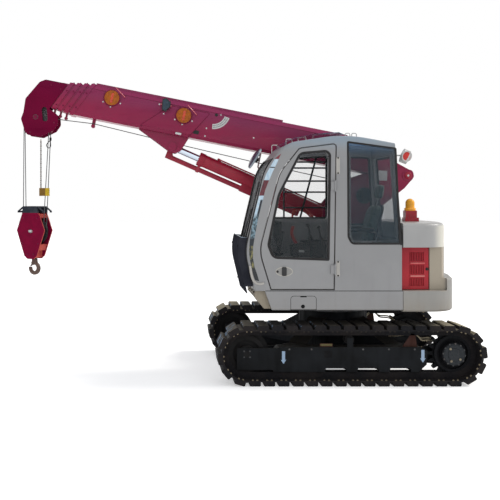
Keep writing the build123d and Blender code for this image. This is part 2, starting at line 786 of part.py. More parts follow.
def control_consoles():
    """Side consoles with levers, travel pedals and a display, standing on the floor."""
    floor = cab_floor + cab_wall
    made = []
    for side, y in ((-1, 250), (1, 985)):
        box = block(60, 420, y - 60, y + 60, floor, 1530)
        box += rod((300, y, 1520), (330, y, 1680), 9) + Pos(334, y, 1700) * Sphere(22)
        made.append(box)
    column = block(700, 760, 585, 655, floor, floor + 330)
    column += block(690, 770, 470, 770, floor + 320, floor + 345)
    for y in (520, 590, 650, 720):
        column += rod((730, y, floor + 340), (690, y, floor + 560), 8)
        column += Pos(688, y, floor + 570) * Sphere(17)
    made.append(column)
    foot = block(610, 670, 210, 270, floor, floor + 12)
    made.append(foot + rod((640, 240, floor + 8), (690, 240, 1560), 14) + Pos(690, 250, 1650) * Rot(0, 0, 25) * Box(40, 110, 190))
    return made


def front_guard():
    """Dark moulded guard that stands off the cab's lower front on two brackets."""
    face = cab_face()
    shell = offset(face, 92, kind=Kind.INTERSECTION) - offset(face, 80, kind=Kind.INTERSECTION)
    guard = across(shell, cab_right + 40, cab_left - 60)
    guard &= block(900, 1400, cab_right, cab_left, 985, 1600)
    cheek = offset(face, 82, kind=Kind.INTERSECTION) - offset(face, 4, kind=Kind.INTERSECTION)
    for y in (cab_right + 40, cab_left - 66):
        guard += across(cheek, y, y + 6) & block(900, 1400, cab_right, cab_left, 1060, 1590)
    for y in (cab_right + 55, cab_left - 85):
        for z in (1090, 1500):
            tab = block(1050, 1400, y, y + 14, z - 20, z + 20)
            tab &= across(offset(face, 84, kind=Kind.INTERSECTION) - offset(face, seat_gap, kind=Kind.INTERSECTION), y - 1, y + 20)
            guard += tab
    return guard


def window_guard():
    """Bars outside the right front window, between the cab and the boom."""
    y1 = cab_right - seat_gap
    bars = [block(x, x + 18, y1 - 24, y1, 1740, 2530) for x in (62, 590)]
    guard = bars[0] + bars[1]
    for z in (1905, 2090, 2221, 2376, 2447):
        guard += block(62, 608, y1 - 24, y1 - 12, z - 6, z + 6)
    guard += rod((215, y1 - 18, 2500), (412, y1 - 18, 1760), 8)
    return guard


def mirror_arm():
    """Round mirror on a bent arm at the cab's right front corner."""
    y = cab_right - seat_gap
    foot = (868, y - 14, 2300)
    bend = (905, y - 32, 2390)
    top = (872, y - 32, 2545)
    arm = block(838, 896, y - 10, y, 2265, 2335) + rod(foot, bend, 9) + Pos(*foot) * Sphere(9)
    arm += rod(bend, top, 9) + Pos(*bend) * Sphere(9) + Pos(*top) * Sphere(9)
    arm += rod(top, (932, y - 32, 2500), 9)
    return arm + Pos(942, y - 32, 2490) * Rot(0, 58.5, 0) * Cylinder(130, 26)


def beacon():
    """Flashing lamp on its stepped box, on the engine hood."""
    x, y = -840, 330
    base = block(x - 85, x + 75, y - 70, y + 70, hood_top + seat_gap, hood_top + 45)
    base += block(x - 65, x + 65, y - 60, y + 60, hood_top + 40, hood_top + 125)
    lamp = bar_z(x, y, hood_top + 125 + seat_gap, hood_top + 150, 62)
    lamp += bar_z(x, y, hood_top + 148, hood_top + 215, 52)
    lamp += Pos(x, y, hood_top + 213) * Sphere(52)
    return [base, lamp]


def rear_lamp():
    """Round lamp on a bracket at the cab's upper rear corner."""
    x, y, z = -478.2, cab_left - 250, 2490
    arm = block(x - 150, x, y - 12, y + 12, z - 8, z + 8)
    return Pos(x - 165, y, z - 10) * Rot(0, 68, 0) * Cylinder(78, 70) + arm


# Boom

boom_frame = Pos(pivot_x, boom_y, pivot_z) * Rot(0, -boom_angle, 0)
slant = tan(radians(end_slant))


def boom_profile(shrink=0.0):
    """Cross-section of the base part, sharp-cornered: chamfered above, trimmed below."""
    w = boom_half_width
    points = [(-w, boom_under + 34), (-w + 34, boom_under), (w - 34, boom_under), (w, boom_under + 34)]
    points += [(w, boom_over - 55), (w - 42, boom_over), (-w + 42, boom_over), (-w, boom_over - 55)]
    face = outline(points)
    return offset(face, -shrink, kind=Kind.INTERSECTION) if shrink else face


def along_boom(face, x0, x1):
    """A face drawn in Y and Z, made solid from x0 to x1 along the boom."""
    return Pos(x0, 0, 0) * extrude(Plane.YZ * face, x1 - x0)


def front_cut(x_top, back=2000.0):
    """What lies behind a slanted end whose top edge is at x_top, from that far back."""
    low, high = boom_under - 60, boom_over + 60
    x_low = x_top + (boom_over - low) * slant
    x_high = x_top + (boom_over - high) * slant
    return across(outline([(x_top - back, low), (x_low, low), (x_high, high), (x_top - back, high)]), -400, 400)


def tube_part(number):
    """Telescopic part: a closed tube with a slanted collar in front, and pads that slide in its neighbours."""
    shrink = section_step * number
    front = boom_front + section_reveal * number
    rear = section_rear + 45 * number if number else section_rear - 40
    length = front + 400 - rear
    tube = along_boom(boom_profile(shrink) - boom_profile(shrink + section_wall), rear, rear + length)
    collar = boom_profile(shrink - collar_proud) - boom_profile(shrink + section_wall)
    ring = along_boom(collar, front - 400, front + 400)
    ring &= front_cut(front) - front_cut(front - collar_length)
    tube = tube & front_cut(front, back=front - rear + 500)
    if number < 4:
        tube += ring
    inside = shrink + section_wall
    pad = section_step - section_wall - seat_gap
    low = boom_under + inside
    high = boom_over - shrink
    if number < 4:  # pad under the next part, at this part's mouth
        tube += block(front - 60, front + 60, -70, 70, low - 1, low + pad)
    if number:  # pad on top of this part's tail
        tube += block(rear + 10, rear + 150, -60, 60, high - 1, high + pad)
    return tube


def boom_base():
    """Base part: tube, tapered foot with its bosses, top cover and the deep bracket of the lift cylinder."""
    base = tube_part(0)
    w = boom_half_width
    foot_side = [
        (-pivot_boss * 0.55, -pivot_boss * 0.83),
        (-pivot_boss * 0.98, 0),
        (-pivot_boss * 0.4, pivot_boss * 0.9),
        (section_rear - 20, boom_over),
        (section_rear - 20, boom_under),
        (120, boom_under),
    ]
    cheeks = across(outline(foot_side), -w, w)
    cheeks -= across(outline(foot_side), -w + cheek_plate, w - cheek_plate) & block(
        -200, section_rear - 60, -w, w, boom_under + 14, boom_over - 40
    )
    # plan taper is left out: the foot is as wide as the boom, and a tube carries its pin
    base += cheeks
    base += bar_y(0, 0, -w, w, pivot_boss)
    base -= bar_y(0, 0, -w - 1, w + 1, pivot_pin + fit_gap)
    # top cover
    base += block(1590, boom_front - 60, -w + 42, w - 42, boom_over - 1, boom_over + cover_height)
    # bracket of the lift cylinder: two deep plates joined in front of the rod's eye
    bracket = [(3288, boom_under - 8), (3100, boom_under + 130), (2640, boom_under + 130), (2668, boom_under - 8)]
    bracket += [(2735, -240), (2790, -275), (2857, -272)]
    inner = eye_half_width + 14
    for side in (-1, 1):
        y0, y1 = sorted((side * inner, side * (inner + 16)))
        base += across(outline(bracket), y0, y1) - block(2600, 3300, y0, y1, boom_under + 3, 400)
        skin = [(3266, boom_under + 36), (3066, 166), (2960, 272), (2474, 272), (2655, boom_under + 36)]
        y0, y1 = sorted((side * (w - 1), side * (w + bracket_skin)))
        base += across(outline(skin), y0, y1)
        boss0, boss1 = sorted((side * (inner + 15), side * (inner + 34)))
        base += bar_y(rod_pin_x, rod_pin_z, boss0, boss1, 52)
    rib = [(3250, boom_under + 3), (3262, boom_under - 12), (2990, -175), (2978, -160), (3180, boom_under + 3)]
    base += across(outline(rib), -inner - 1, inner + 1)
    # rope guide under the tube
    base += block(3820, 3860, -16, 16, boom_under - 72, boom_under + 2)
    base += bar_y(3840, boom_under - 82, -30, 30, 24)
    return base


def boom_lamps():
    """Two round side markers and a square work lamp, on the left face of the base part."""
    face = boom_half_width + seat_gap
    skin = face + bracket_skin
    made = [bar_y(3668, 222, face, face + 24, 60), bar_y(2779, 184, skin, skin + 24, 60)]
    lamp = Pos(3006, face + 52, 238) * Rot(0, -24, 0) * Box(58, 46, 100)
    return [*made, lamp + block(2996, 3016, face, face + 40, 276, 286)]


def tip_guide(number):
    """Rope guide under the front of a telescopic part."""
    front = boom_front + section_reveal * number
    low = boom_under + section_step * number
    x = front + (boom_over - low) * slant - 30
    return block(x - 12, x + 12, -14, 14, low - 62, low + 3) + bar_y(x, low - 66, -26, 26, 20)


head_shape = [
    (4234, 280),
    (4262, 292),
    (4500, 292),
    (4566, 250),
    (4695, 20),
    (4688, -150),
    (4702, -230),
    (4622, -380),
    (4580, -405),
    (4425, -398),
    (4285, -292),
    (4246, -205),
    (4270, -112),
    (4332, -72),
    (4388, -48),
]
head_radii = [0, 12, 50, 60, 30, 30, 40, 20, 14, 30, 20, 60, 30, 20, 0]


def boom_head():
    """Sheave housing: two polygon plates, the bent plate over their top and nose, and the rope's anchor."""
    w = boom_half_width - 4 * section_step
    face = make_face(FilletPolyline(*head_shape, radius=head_radii, close=True))
    window = Pos(4430, -122) * Rot(0, 0, -16) * SlotOverall(175, 62, rotation=90)
    plate = across(face - window, w + seat_gap, w + seat_gap + head_plate)
    head = plate + mirror(plate, Plane.XZ)
    outer = w + seat_gap + 1
    wrap = [(4390, 292), (4496, 292), (4562, 250), (4686, 22), (4684, -16), (4675, -16), (4677, 18), (4555, 244)]
    wrap += [(4494, 283), (4390, 283)]
    head += across(outline(wrap), -outer, outer)
    # spacer tubes and the anchor of the rope's dead end: x, z, radius
    for x, z, radius in ((4300, -200, 22), (4560, -368, 14)):
        head += bar_y(x, z, -outer, outer, radius)
    head += bar_y(4345, -290, -outer, -8, 24)
    head -= bar_y(sheave_x, sheave_z, -w - 40, w + 40, 30 + fit_gap)
    return head


def sheave_pair(pitch, pin, reach, hub):
    """Two grooved sheaves on one pin."""
    made = bar_y(0, 0, -reach, reach, pin)
    bottom = pitch - rope_radius - seat_gap
    rim = pitch + 16
    for side in (-1, 1):
        y = side * sheave_spacing / 2
        h = sheave_width / 2
        wheel = turned(
            [(0, y - h), (hub, y - h), (hub, y - 9), (bottom - 26, y - 9), (bottom - 20, y - 15), (rim, y - 15)]
            + [(rim, y - 12.5), (bottom, y - 6), (bottom, y + 6), (rim, y + 12.5), (rim, y + 15)]
            + [(bottom - 20, y + 15), (bottom - 26, y + 9), (hub, y + 9), (hub, y + h), (0, y + h)]
        )
        made += wheel
    return made


def boom_point(x, z):
    """Where a point of the boom's frame stands at rest."""
    a = radians(boom_angle)
    return pivot_x + x * cos(a) - z * sin(a), pivot_z + x * sin(a) + z * cos(a)


head_x, head_z = boom_point(sheave_x, sheave_z)


def fall_ends(side, row):
    """Upper and lower end of one fall: side 1 is in front of the sheaves, row 1 is the left sheave."""
    y = row * sheave_spacing / 2
    upper = (head_x + side * head_sheave_pitch, boom_y + y, head_z)
    if side < 0 and row < 0:  # the dead end runs to its anchor
        anchor_x, anchor_z = boom_point(4345, -290)
        upper = (anchor_x, boom_y + y, anchor_z - 24 - seat_gap)
    a = radians(block_yaw)
    reach = side * block_sheave_pitch
    lower = (block_x + reach * cos(a) - y * sin(a), boom_y + reach * sin(a) + y * cos(a), block_z)
    return upper, lower


def hoist_falls():
    """The four falls of rope between the boom head and the hook block."""
    return [rod(*fall_ends(side, row), rope_radius) for side in (1, -1) for row in (1, -1)]


def overhoist_weight():
    """Weight that rides on a rear fall and hangs from the head by its chain."""
    upper, lower = (Vector(*p) for p in fall_ends(-1, 1))
    z = 2093.0
    share = (upper.Z - z) / (upper.Z - lower.Z)
    on_rope = upper + (lower - upper) * share
    weight = Pos(on_rope.X + 12, on_rope.Y, z) * Box(118, 70, 96)
    weight -= rod(tuple(upper), tuple(lower), rope_radius + seat_gap)
    chain_x = on_rope.X + 55
    chain_y = on_rope.Y
    return weight + bar_z(chain_x, chain_y, z + 40, head_z - 262, 4)


block_frame = Pos(block_x, boom_y, block_z) * Rot(0, 0, block_yaw)

block_shape = [(-122, 222), (122, 222), (206, 10), (92, -300), (46, -338), (-46, -338), (-92, -300), (-206, 10)]


# between the plates of the hook block: x, z, width, height, turn
edge_spacers = [
    (114, -196, 14, 76, 20),
    (-114, -196, 14, 76, -20),
    (119, 186, 12, 50, -21),
    (-119, 186, 12, 50, 21),
]


def hook_block():
    """Hook block: two six-sided plates, edge spacers, the dark guard over the ropes and the cross head."""
    inner, outer = block_half_gap, block_half_gap + block_plate
    body = None
    for side in (-1, 1):
        y0, y1 = sorted((side * inner, side * outer))
        plate = across(outline(block_shape, 14), y0, y1)
        body = plate if body is None else body + plate
    for x, z, wide, high, turn in edge_spacers:
        body += Pos(x, 0, z) * Rot(0, turn, 0) * Box(wide, 2 * inner + 2, high)
    body += block(-60, 60, -inner - 1, inner + 1, -322, -236)
    guard = [(-186, 246), (-106, 304), (106, 304), (186, 246), (186, 226), (178, 226), (178, 242), (102, 296)]
    guard += [(-102, 296), (-178, 242), (-178, 226), (-186, 226)]
    cover = across(outline(guard), -outer - 10, outer + 10)
    for side in (-1, 1):
        x = side * block_sheave_pitch
        cover -= block(x - 36, x + 34, -64, 64, 200, 320)
    for side in (-1, 1):
        y0, y1 = sorted((side * (outer - 6), side * (outer + 10)))
        cover += across(outline([(-106, 300), (106, 300), (122, 200), (-122, 200)]), y0, y1)
    body += cover
    body -= bar_y(0, 0, -outer - 1, outer + 1, 24 + fit_gap)
    body -= bar_z(0, 0, -340, -230, 27 + fit_gap)
    return block_frame * body


def block_sheaves():
    """Sheaves and pin of the hook block."""
    return block_frame * sheave_pair(block_sheave_pitch, 24, block_half_gap + block_plate, 40)


def hook():
    """Forged hook on a shank that turns in the block's cross head, with its sprung latch."""
    bowl_in, bowl_out = 39.0, 80.0
    centre = (0, -455)
    body = Pos(*centre) * (Circle(bowl_out) - Pos(4, 5) * Circle(bowl_in))
    mouth = outline([(12, -449), (38, -393), (110, -360), (140, -430), (64, -440)])
    face = body - mouth
    neck = outline([(-34, -392), (-26, -342), (26, -342), (34, -380), (20, -412), (-40, -410)])
    made = across(face + neck, -21, 21)
    made = fillet([e for e in made.edges() if e.geom_type == GeomType.CIRCLE and e.length > 60], 12)
    made += bar_z(0, 0, -350, -200, 27) + bar_z(0, 0, -232, -205, 44)
    made += bar_z(0, 0, -372, -338 - seat_gap, 36)
    latch = outline([(20, -384), (30, -392), (60, -424), (52, -432), (22, -402)])
    made += across(latch, -13, 13)
    return block_frame * made


# Lift cylinder

pin_x, pin_z = boom_point(rod_pin_x, rod_pin_z)
cylinder_length = hypot(pin_x - foot_x, pin_z - foot_z)
cylinder_angle = degrees(atan2(pin_z - foot_z, pin_x - foot_x))
cylinder_frame = Pos(foot_x, boom_y, foot_z) * Rot(0, -cylinder_angle, 0)


def bar_x(x0, x1, radius, y=0.0, z=0.0):
    """Round bar along X."""
    return Pos((x0 + x1) / 2, y, z) * Rot(0, 90, 0) * Cylinder(radius, x1 - x0)


def lift_barrel():
    """Barrel with its foot eye, a collar at the mouth, the guide of the rod's bar, and a feed pipe."""
    body = bar_x(90, barrel_end, barrel_radius)
    body += bar_x(barrel_end - 70, barrel_end, barrel_radius + 6)
    foot = across(outline([(0, -58), (0, 58), (120, 70), (120, -70)]), -eye_half_width, eye_half_width)
    body += foot + bar_y(0, 0, -eye_half_width, eye_half_width, 62)
    body -= bar_y(0, 0, -eye_half_width - 1, eye_half_width + 1, cylinder_pin + fit_gap)
    body -= bar_x(160, barrel_end + 1, rod_radius + 20)
    body += bar_x(barrel_end - 40, barrel_end, barrel_radius) - bar_x(barrel_end - 50, barrel_end + 5, rod_radius + fit_gap)
    guide = block(barrel_end - 58, barrel_end - 22, -38, 38, -guide_drop - 40, -barrel_radius + 8)
    body += guide - bar_x(barrel_end - 80, barrel_end + 5, guide_radius + fit_gap, z=-guide_drop)
    body -= bar_x(160, barrel_end - 41, rod_radius + 20)
    body += bar_x(170, barrel_end - 240, 9, z=barrel_radius + 12)
    for x in (180, barrel_end - 252):
        body += block(x - 14, x + 14, -12, 12, barrel_radius - 4, barrel_radius + 18)
    return cylinder_frame * body


def lift_rod():
    """Rod with piston and eye, and the bar that its bracket carries along below the barrel."""
    length = cylinder_length
    body = bar_x(430, length - 40, rod_radius) + bar_x(400, 520, rod_radius + 20 - fit_gap)
    body += bar_y(length, 0, -eye_half_width, eye_half_width, eye_radius)
    bracket = outline(
        [(length - 40, -30), (length + 34, -50), (length + 30, -guide_drop - 30)]
        + [(length - 60, -guide_drop - 30), (length - 60, -guide_drop + 20), (length - 34, -60)]
    )
    body += across(bracket, -28, 28)
    body += bar_x(guide_start, length - 20, guide_radius, z=-guide_drop)
    return cylinder_frame * body


save("car_body", car_body())
save("side_frames", both_sides(side_frame()))
save("track_left", track())
save("track_right", mirror(track(), Plane.XZ))
save("idlers", both_sides(idler()))
save("sprockets", both_sides(sprocket()))
save("track_rollers", [piece for roller in rollers() for piece in both_sides(roller)])
save("swing_bearing", swing_bearing())

save("revolving_frame", revolving_frame())
save("deck_skirts", deck_skirts())
save("front_apron", front_apron())
save("counterweight", counterweight())
save("engine_hood", engine_hood())
save("louvre_door_left", louvre_door())
save("louvre_door_right", mirror(louvre_door(), Plane.XZ))
save("engine", engine())
save("hydraulic_tank", hydraulic_tank())
save("fuel_tank", fuel_tank())
save("boom_mast", boom_mast())
save("mast_pins", mast_pins())
save("winch_motor", winch_motor())
save("winch_drum", winch_drum())

save("cab_shell", cab_shell())
save("cab_glazing", cab_glazing())
save("cab_door", cab_door())
save("door_glass", door_glass())
save("operator_seat", operator_seat())
save("control_consoles", control_consoles())
save("front_guard", front_guard())
save("window_guard", window_guard())
save("mirror", mirror_arm())
save("beacon", beacon())
save("rear_lamp", rear_lamp())

save("boom_base", boom_frame * boom_base())
save("boom_lamps", [boom_frame * lamp for lamp in boom_lamps()])
for number in (1, 2, 3, 4):
    part = tube_part(number)
    if number < 4:
        part += tip_guide(number)
    save(f"boom_section_{number + 1}", boom_frame * part)
save("boom_head", boom_frame * boom_head())
head_reach = boom_half_width - 4 * section_step + seat_gap + head_plate
save("head_sheaves", boom_frame * Pos(sheave_x, 0, sheave_z) * sheave_pair(head_sheave_pitch, 30, head_reach, 50))
save("hoist_falls", hoist_falls())
save("overhoist_weight", overhoist_weight())
save("hook_block", hook_block())
save("block_sheaves", block_sheaves())
save("hook", hook())
save("lift_barrel", lift_barrel())
save("lift_rod", lift_rod())
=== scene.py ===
from math import cos, pi, radians, sin

import bmesh
import bpy
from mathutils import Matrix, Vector


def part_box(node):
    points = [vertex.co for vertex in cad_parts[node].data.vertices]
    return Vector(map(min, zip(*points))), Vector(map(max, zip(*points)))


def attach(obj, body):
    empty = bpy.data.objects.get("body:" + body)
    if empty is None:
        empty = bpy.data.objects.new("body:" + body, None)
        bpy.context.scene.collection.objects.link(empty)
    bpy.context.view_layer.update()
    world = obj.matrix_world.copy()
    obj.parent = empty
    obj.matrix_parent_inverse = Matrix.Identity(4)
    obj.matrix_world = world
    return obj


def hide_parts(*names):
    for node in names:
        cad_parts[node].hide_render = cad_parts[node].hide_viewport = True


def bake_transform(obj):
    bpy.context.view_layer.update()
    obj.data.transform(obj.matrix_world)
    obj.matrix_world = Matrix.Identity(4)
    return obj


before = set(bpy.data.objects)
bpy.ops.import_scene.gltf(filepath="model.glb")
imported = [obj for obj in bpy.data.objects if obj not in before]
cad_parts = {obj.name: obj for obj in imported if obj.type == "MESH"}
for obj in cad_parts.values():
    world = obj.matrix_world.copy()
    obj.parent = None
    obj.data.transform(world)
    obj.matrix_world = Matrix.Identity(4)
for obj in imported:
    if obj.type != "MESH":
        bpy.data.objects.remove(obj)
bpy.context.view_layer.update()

# Camera: it stands level on the machine's left and looks straight across it
camera_data = bpy.data.cameras.new("camera")
camera_data.sensor_width = 36.0
camera_data.lens = 64.8
camera_data.shift_x = 0.17
camera_data.shift_y = -0.104
camera_data.clip_end = 200.0
camera = bpy.data.objects.new("camera", camera_data)
camera.location = (2.01, 10.8, 2.02)
camera.rotation_euler = (radians(90), 0, radians(180))
bpy.context.collection.objects.link(camera)
bpy.context.scene.camera = camera
bpy.context.scene.view_settings.view_transform = "Standard"


def tilted(degrees):
    """Directions along a line that rises at an angle, and square to it."""
    angle = radians(degrees)
    return Vector((cos(angle), 0, sin(angle))), Vector((-sin(angle), 0, cos(angle)))


# Named places in metres, as in the part's source
BOOM_FOOT, LIFT_FOOT = Vector((-0.905, -0.22, 2.289)), Vector((0.0, -0.22, 1.8))
BOOM_ALONG, BOOM_UP = tilted(11.24)
LIFT_ALONG, LIFT_UP = tilted(23.69)
TRACK_Y, WHEEL_Z, HALF_BASE, PLATE_IN = 0.935, 0.325, 1.12, 0.265
CAB_LEFT, CAB_RIGHT = 1.1, 0.13
HOOD_TOP = 1.748
BLOCK, BLOCK_TURN = Vector((3.605, -0.22, 1.616)), radians(-28)
SEAT_Y = 0.62

# Materials
UP = (0, 0, 1)
DUST, RUST, CHIP = (0.30, 0.245, 0.18), (0.10, 0.045, 0.022), (0.03, 0.026, 0.024)
# colours of a painted sky reflection on high faces and of painted sunlight on faces towards the rear
SKY_SHEEN, REAR_SUNLIGHT = (0.25, 0.33, 0.41), (0.66, 0.64, 0.56)


class Tree:
    """Small helper that builds nodes in a tree."""

    def __init__(self, tree):
        self.tree, self.nodes = tree, tree.nodes

    def node(self, kind, **values):
        """New node with uniform values on its named sockets."""
        node = self.nodes.new("ShaderNode" + kind)
        for key, value in values.items():
            node.inputs[key.replace("_", " ")].default_value = value
        return node

    def feed(self, socket, value):
        """Gives a socket a number, a colour or another node's output."""
        if isinstance(value, (int, float)):
            socket.default_value = value
        elif isinstance(value, tuple):
            socket.default_value = (*value, 1.0)
        else:
            self.tree.links.new(value, socket)

    def math(self, operation, a, b=0.0, clamp=False):
        node = self.node("Math")
        node.operation = operation
        node.use_clamp = clamp
        self.feed(node.inputs[0], a)
        self.feed(node.inputs[1], b)
        return node.outputs[0]

    def seen(self):
        """1 for the rays of the camera, of mirrors and of glass, 0 for the light that falls on things."""
        rays = self.node("LightPath").outputs
        bent_rays = self.math("MAXIMUM", rays["Is Glossy Ray"], rays["Is Transmission Ray"])
        return self.math("MAXIMUM", rays["Is Camera Ray"], bent_rays)


class Shader(Tree):
    """Small helper that builds one node material."""

    def __init__(self, name):
        self.material = bpy.data.materials.new(name)
        self.material.use_nodes = True
        super().__init__(self.material.node_tree)
        self.surface = self.nodes["Principled BSDF"]
        self.place = self.node("TexCoord").outputs["Object"]

    def set(self, **values):
        """Uniform values of the shader's own sockets."""
        for key, value in values.items():
            self.surface.inputs[key.replace("_", " ")].default_value = value

    def link(self, output, name):
        self.tree.links.new(output, self.surface.inputs[name])

    def noise(self, scale, detail=4.0, rough=0.55, stretch=None, seed=0.0):
        """Noise value, its pattern stretched by a scale per axis."""
        place = self.place
        if stretch or seed:
            mapping = self.node("Mapping", Scale=stretch or (1, 1, 1), Location=(seed, seed * 0.7, seed * 1.3))
            self.tree.links.new(place, mapping.inputs["Vector"])
            place = mapping.outputs["Vector"]
        node = self.node("TexNoise", Scale=scale, Detail=detail, Roughness=rough)
        self.tree.links.new(place, node.inputs["Vector"])
        return node.outputs["Fac"]

    def wave(self, scale, distortion, direction="X"):
        """Bands that follow one another in a direction."""
        node = self.node("TexWave", Scale=scale, Distortion=distortion)
        node.bands_direction = direction
        self.tree.links.new(self.place, node.inputs["Vector"])
        return node.outputs["Fac"]

    def times(self, *values, clamp=False):
        product = values[0]
        for value in values[1:]:
            product = self.math("MULTIPLY", product, value, clamp)
        return product

    def plus(self, *values, clamp=False):
        total = values[0]
        for value in values[1:]:
            total = self.math("ADD", total, value, clamp)
        return total

    def fade(self, value, low, high, to_low=0.0, to_high=1.0):
        """Smooth change of a value from low to high."""
        node = self.node("MapRange", From_Min=low, From_Max=high, To_Min=to_low, To_Max=to_high)
        node.interpolation_type = "SMOOTHSTEP"
        self.tree.links.new(value, node.inputs["Value"])
        return node.outputs["Result"]

    def mix(self, amount, first, second):
        """Colour between two colours."""
        node = self.node("Mix")
        node.data_type = "RGBA"
        for key, value in (("Factor", amount), (6, first), (7, second)):
            self.feed(node.inputs[key], value)
        return node.outputs[2]

    def ramp(self, value, low, high, first, second):
        """Colour that goes from the first to the second as a value rises from low to high."""
        return self.mix(self.fade(value, low, high), first, second)

    def dot(self, vector, direction):
        node = self.node("VectorMath")
        node.operation = "DOT_PRODUCT"
        self.tree.links.new(vector, node.inputs[0])
        node.inputs[1].default_value = direction
        return node.outputs["Value"]

    def along(self, direction, origin=(0, 0, 0)):
        """Distance from a point along a direction."""
        shift = self.node("VectorMath")
        shift.operation = "SUBTRACT"
        self.tree.links.new(self.place, shift.inputs[0])
        shift.inputs[1].default_value = origin
        return self.dot(shift.outputs[0], direction)

    def x(self):
        return self.along((1, 0, 0))

    def y(self):
        return self.along((0, 1, 0))

    def z(self):
        return self.along(UP)

    def facing(self, direction):
        """How far the surface faces a direction, from -1 to 1."""
        return self.dot(self.node("TexCoord").outputs["Normal"], direction)

    def finish(self, colour, rough, bump=None, gloss=0.5, **values):
        """Links the colour, a faded roughness and a bump (height, strength, distance), and sets the rest."""
        self.link(colour, "Base Color")
        self.link(self.fade(*rough), "Roughness")
        if bump:
            node = self.node("Bump", Strength=bump[1], Distance=bump[2])
            self.tree.links.new(bump[0], node.inputs["Height"])
            self.link(node.outputs["Normal"], "Normal")
        self.set(Specular_IOR_Level=gloss, **values)
        return self


def scaled(colour, share):
    return tuple(c * share for c in colour)


def paint_grain(s):
    """Noises of a sprayed coat: its clouds, its runs of grime and its speckle."""
    streak = s.noise(5.0, 6.0, 0.62, (3.2, 3.2, 0.45), 3.0)
    return s.noise(2.2, 5.0), streak, s.noise(85.0, 3.0, 0.6, seed=1.0)


def paint(name, colour, second, rough=0.42, dust=0.0, dust_top=0.0, chips=0.0, gloss=0.35, streaks=0.35,
          top_sky_sheen=0.0, rear=0.0):
    """Sprayed paint: uneven, with grime, chips and dust; where asked, a bluish painted sky reflection high up
    and painted sunlight on faces turned to the rear.
    """
    s = Shader(name)
    cloudy, streak, speckle = paint_grain(s)
    shade = s.ramp(cloudy, 0.35, 0.68, colour, second)
    # painted sky reflection: bluish towards the top
    if top_sky_sheen:
        shade = s.mix(s.fade(s.z(), 2.50, 2.68, 0.0, top_sky_sheen), shade, SKY_SHEEN)
    # painted sunlight on faces turned to the rear
    if rear:
        shade = s.mix(s.fade(s.facing((-0.90, 0.43, 0)), 0.72, 0.98, 0.0, rear), shade, REAR_SUNLIGHT)
    shade = s.mix(s.times(s.fade(streak, 0.54, 0.78), streaks), shade, scaled(colour, 0.62))
    if chips:
        shade = s.mix(s.times(s.fade(speckle, 0.64, 0.68), s.fade(streak, 0.48, 0.62), chips), shade, CHIP)
    if dust or dust_top:
        low = s.fade(s.z(), 1.15, 0.45, 0.0, dust)
        up = s.fade(s.facing(UP), 0.55, 0.95, 0.0, dust_top)
        shade = s.mix(s.times(s.plus(low, up), s.fade(streak, 0.30, 0.72, 0.35, 1.0), clamp=True), shade, DUST)
    height = s.plus(s.times(speckle, 0.25), s.times(cloudy, 2.0))
    rough = (streak, 0.35, 0.75, rough * 0.85, min(1.0, rough * 1.45))
    return s.finish(shade, rough, (height, 0.22, 0.0015), gloss)


def rubber(name, colour, worn, rough=0.7, dust=0.1, gloss=0.2):
    """Black rubber or plastic with grey scuffs and dust in its grain."""
    s = Shader(name)
    broad, fine = s.noise(4.0, 6.0, 0.6), s.noise(60.0, 5.0, 0.65, seed=2.0)
    shade = s.ramp(broad, 0.38, 0.66, colour, worn)
    if dust:
        up = s.fade(s.facing(UP), 0.35, 0.9, 0.03, dust)
        shade = s.mix(s.times(up, s.fade(fine, 0.32, 0.62, 0.35, 1.0), clamp=True), shade, DUST)
    return s.finish(shade, (fine, 0.3, 0.7, rough * 0.8, min(1.0, rough * 1.2)), (fine, 0.35, 0.001), gloss)


def track_rubber():
    """Pads and shoes: black rubber with brown scuffs, tan tops at the ends where dust and painted sunlight lie
    outside the deck's shadow, and painted sky glints on faces turned forward and up.
    """
    s = Shader("track_rubber")
    broad, fine = s.noise(3.0, 6.0, 0.6), s.noise(48.0, 6.0, 0.68, seed=2.0)
    shade = s.ramp(broad, 0.38, 0.66, (0.008, 0.008, 0.010), (0.019, 0.016, 0.016))
    # the ends of the upper run lie outside the deck's shadow: their tan tops are dust and painted sunlight, and
    # the shaded middle stays black
    away = s.fade(s.math("ABSOLUTE", s.x()), 0.80, 1.20, 0.07, 1.0)
    sunlit_ends = s.times(away, s.fade(s.z(), 0.30, 0.55))
    up = s.fade(s.facing(UP), 0.30, 0.85)
    cover = s.times(up, sunlit_ends, s.fade(fine, 0.30, 0.60, 0.45, 1.0), clamp=True)
    # the near track's front end lies in shade: painted shade keeps its tops black
    near_front_shade = s.times(s.fade(s.x(), 0.2, 0.6), s.fade(s.y(), 0.0, 0.2, 0.0, 0.8))
    shade = s.mix(s.times(cover, s.math("SUBTRACT", 1.0, near_front_shade)), shade, (0.42, 0.37, 0.26))
    # faces turned forward and up take a bluish painted sky glint
    front = s.fade(s.facing((0.86, 0, 0.51)), 0.80, 0.97)
    worn = s.times(front, s.fade(s.noise(11.0, 3.0, seed=6.0), 0.50, 0.62), s.fade(s.x(), -0.1, 0.3),
                   s.fade(s.z(), 0.30, 0.45))
    shade = s.mix(worn, shade, (0.16, 0.23, 0.33))
    scuff = s.times(s.fade(fine, 0.60, 0.70), s.fade(broad, 0.45, 0.6, 0.1, 0.5))
    shade = s.mix(scuff, shade, (0.075, 0.062, 0.055))
    return s.finish(shade, (fine, 0.3, 0.7, 0.6, 0.9), (fine, 0.5, 0.0015), 0.14)


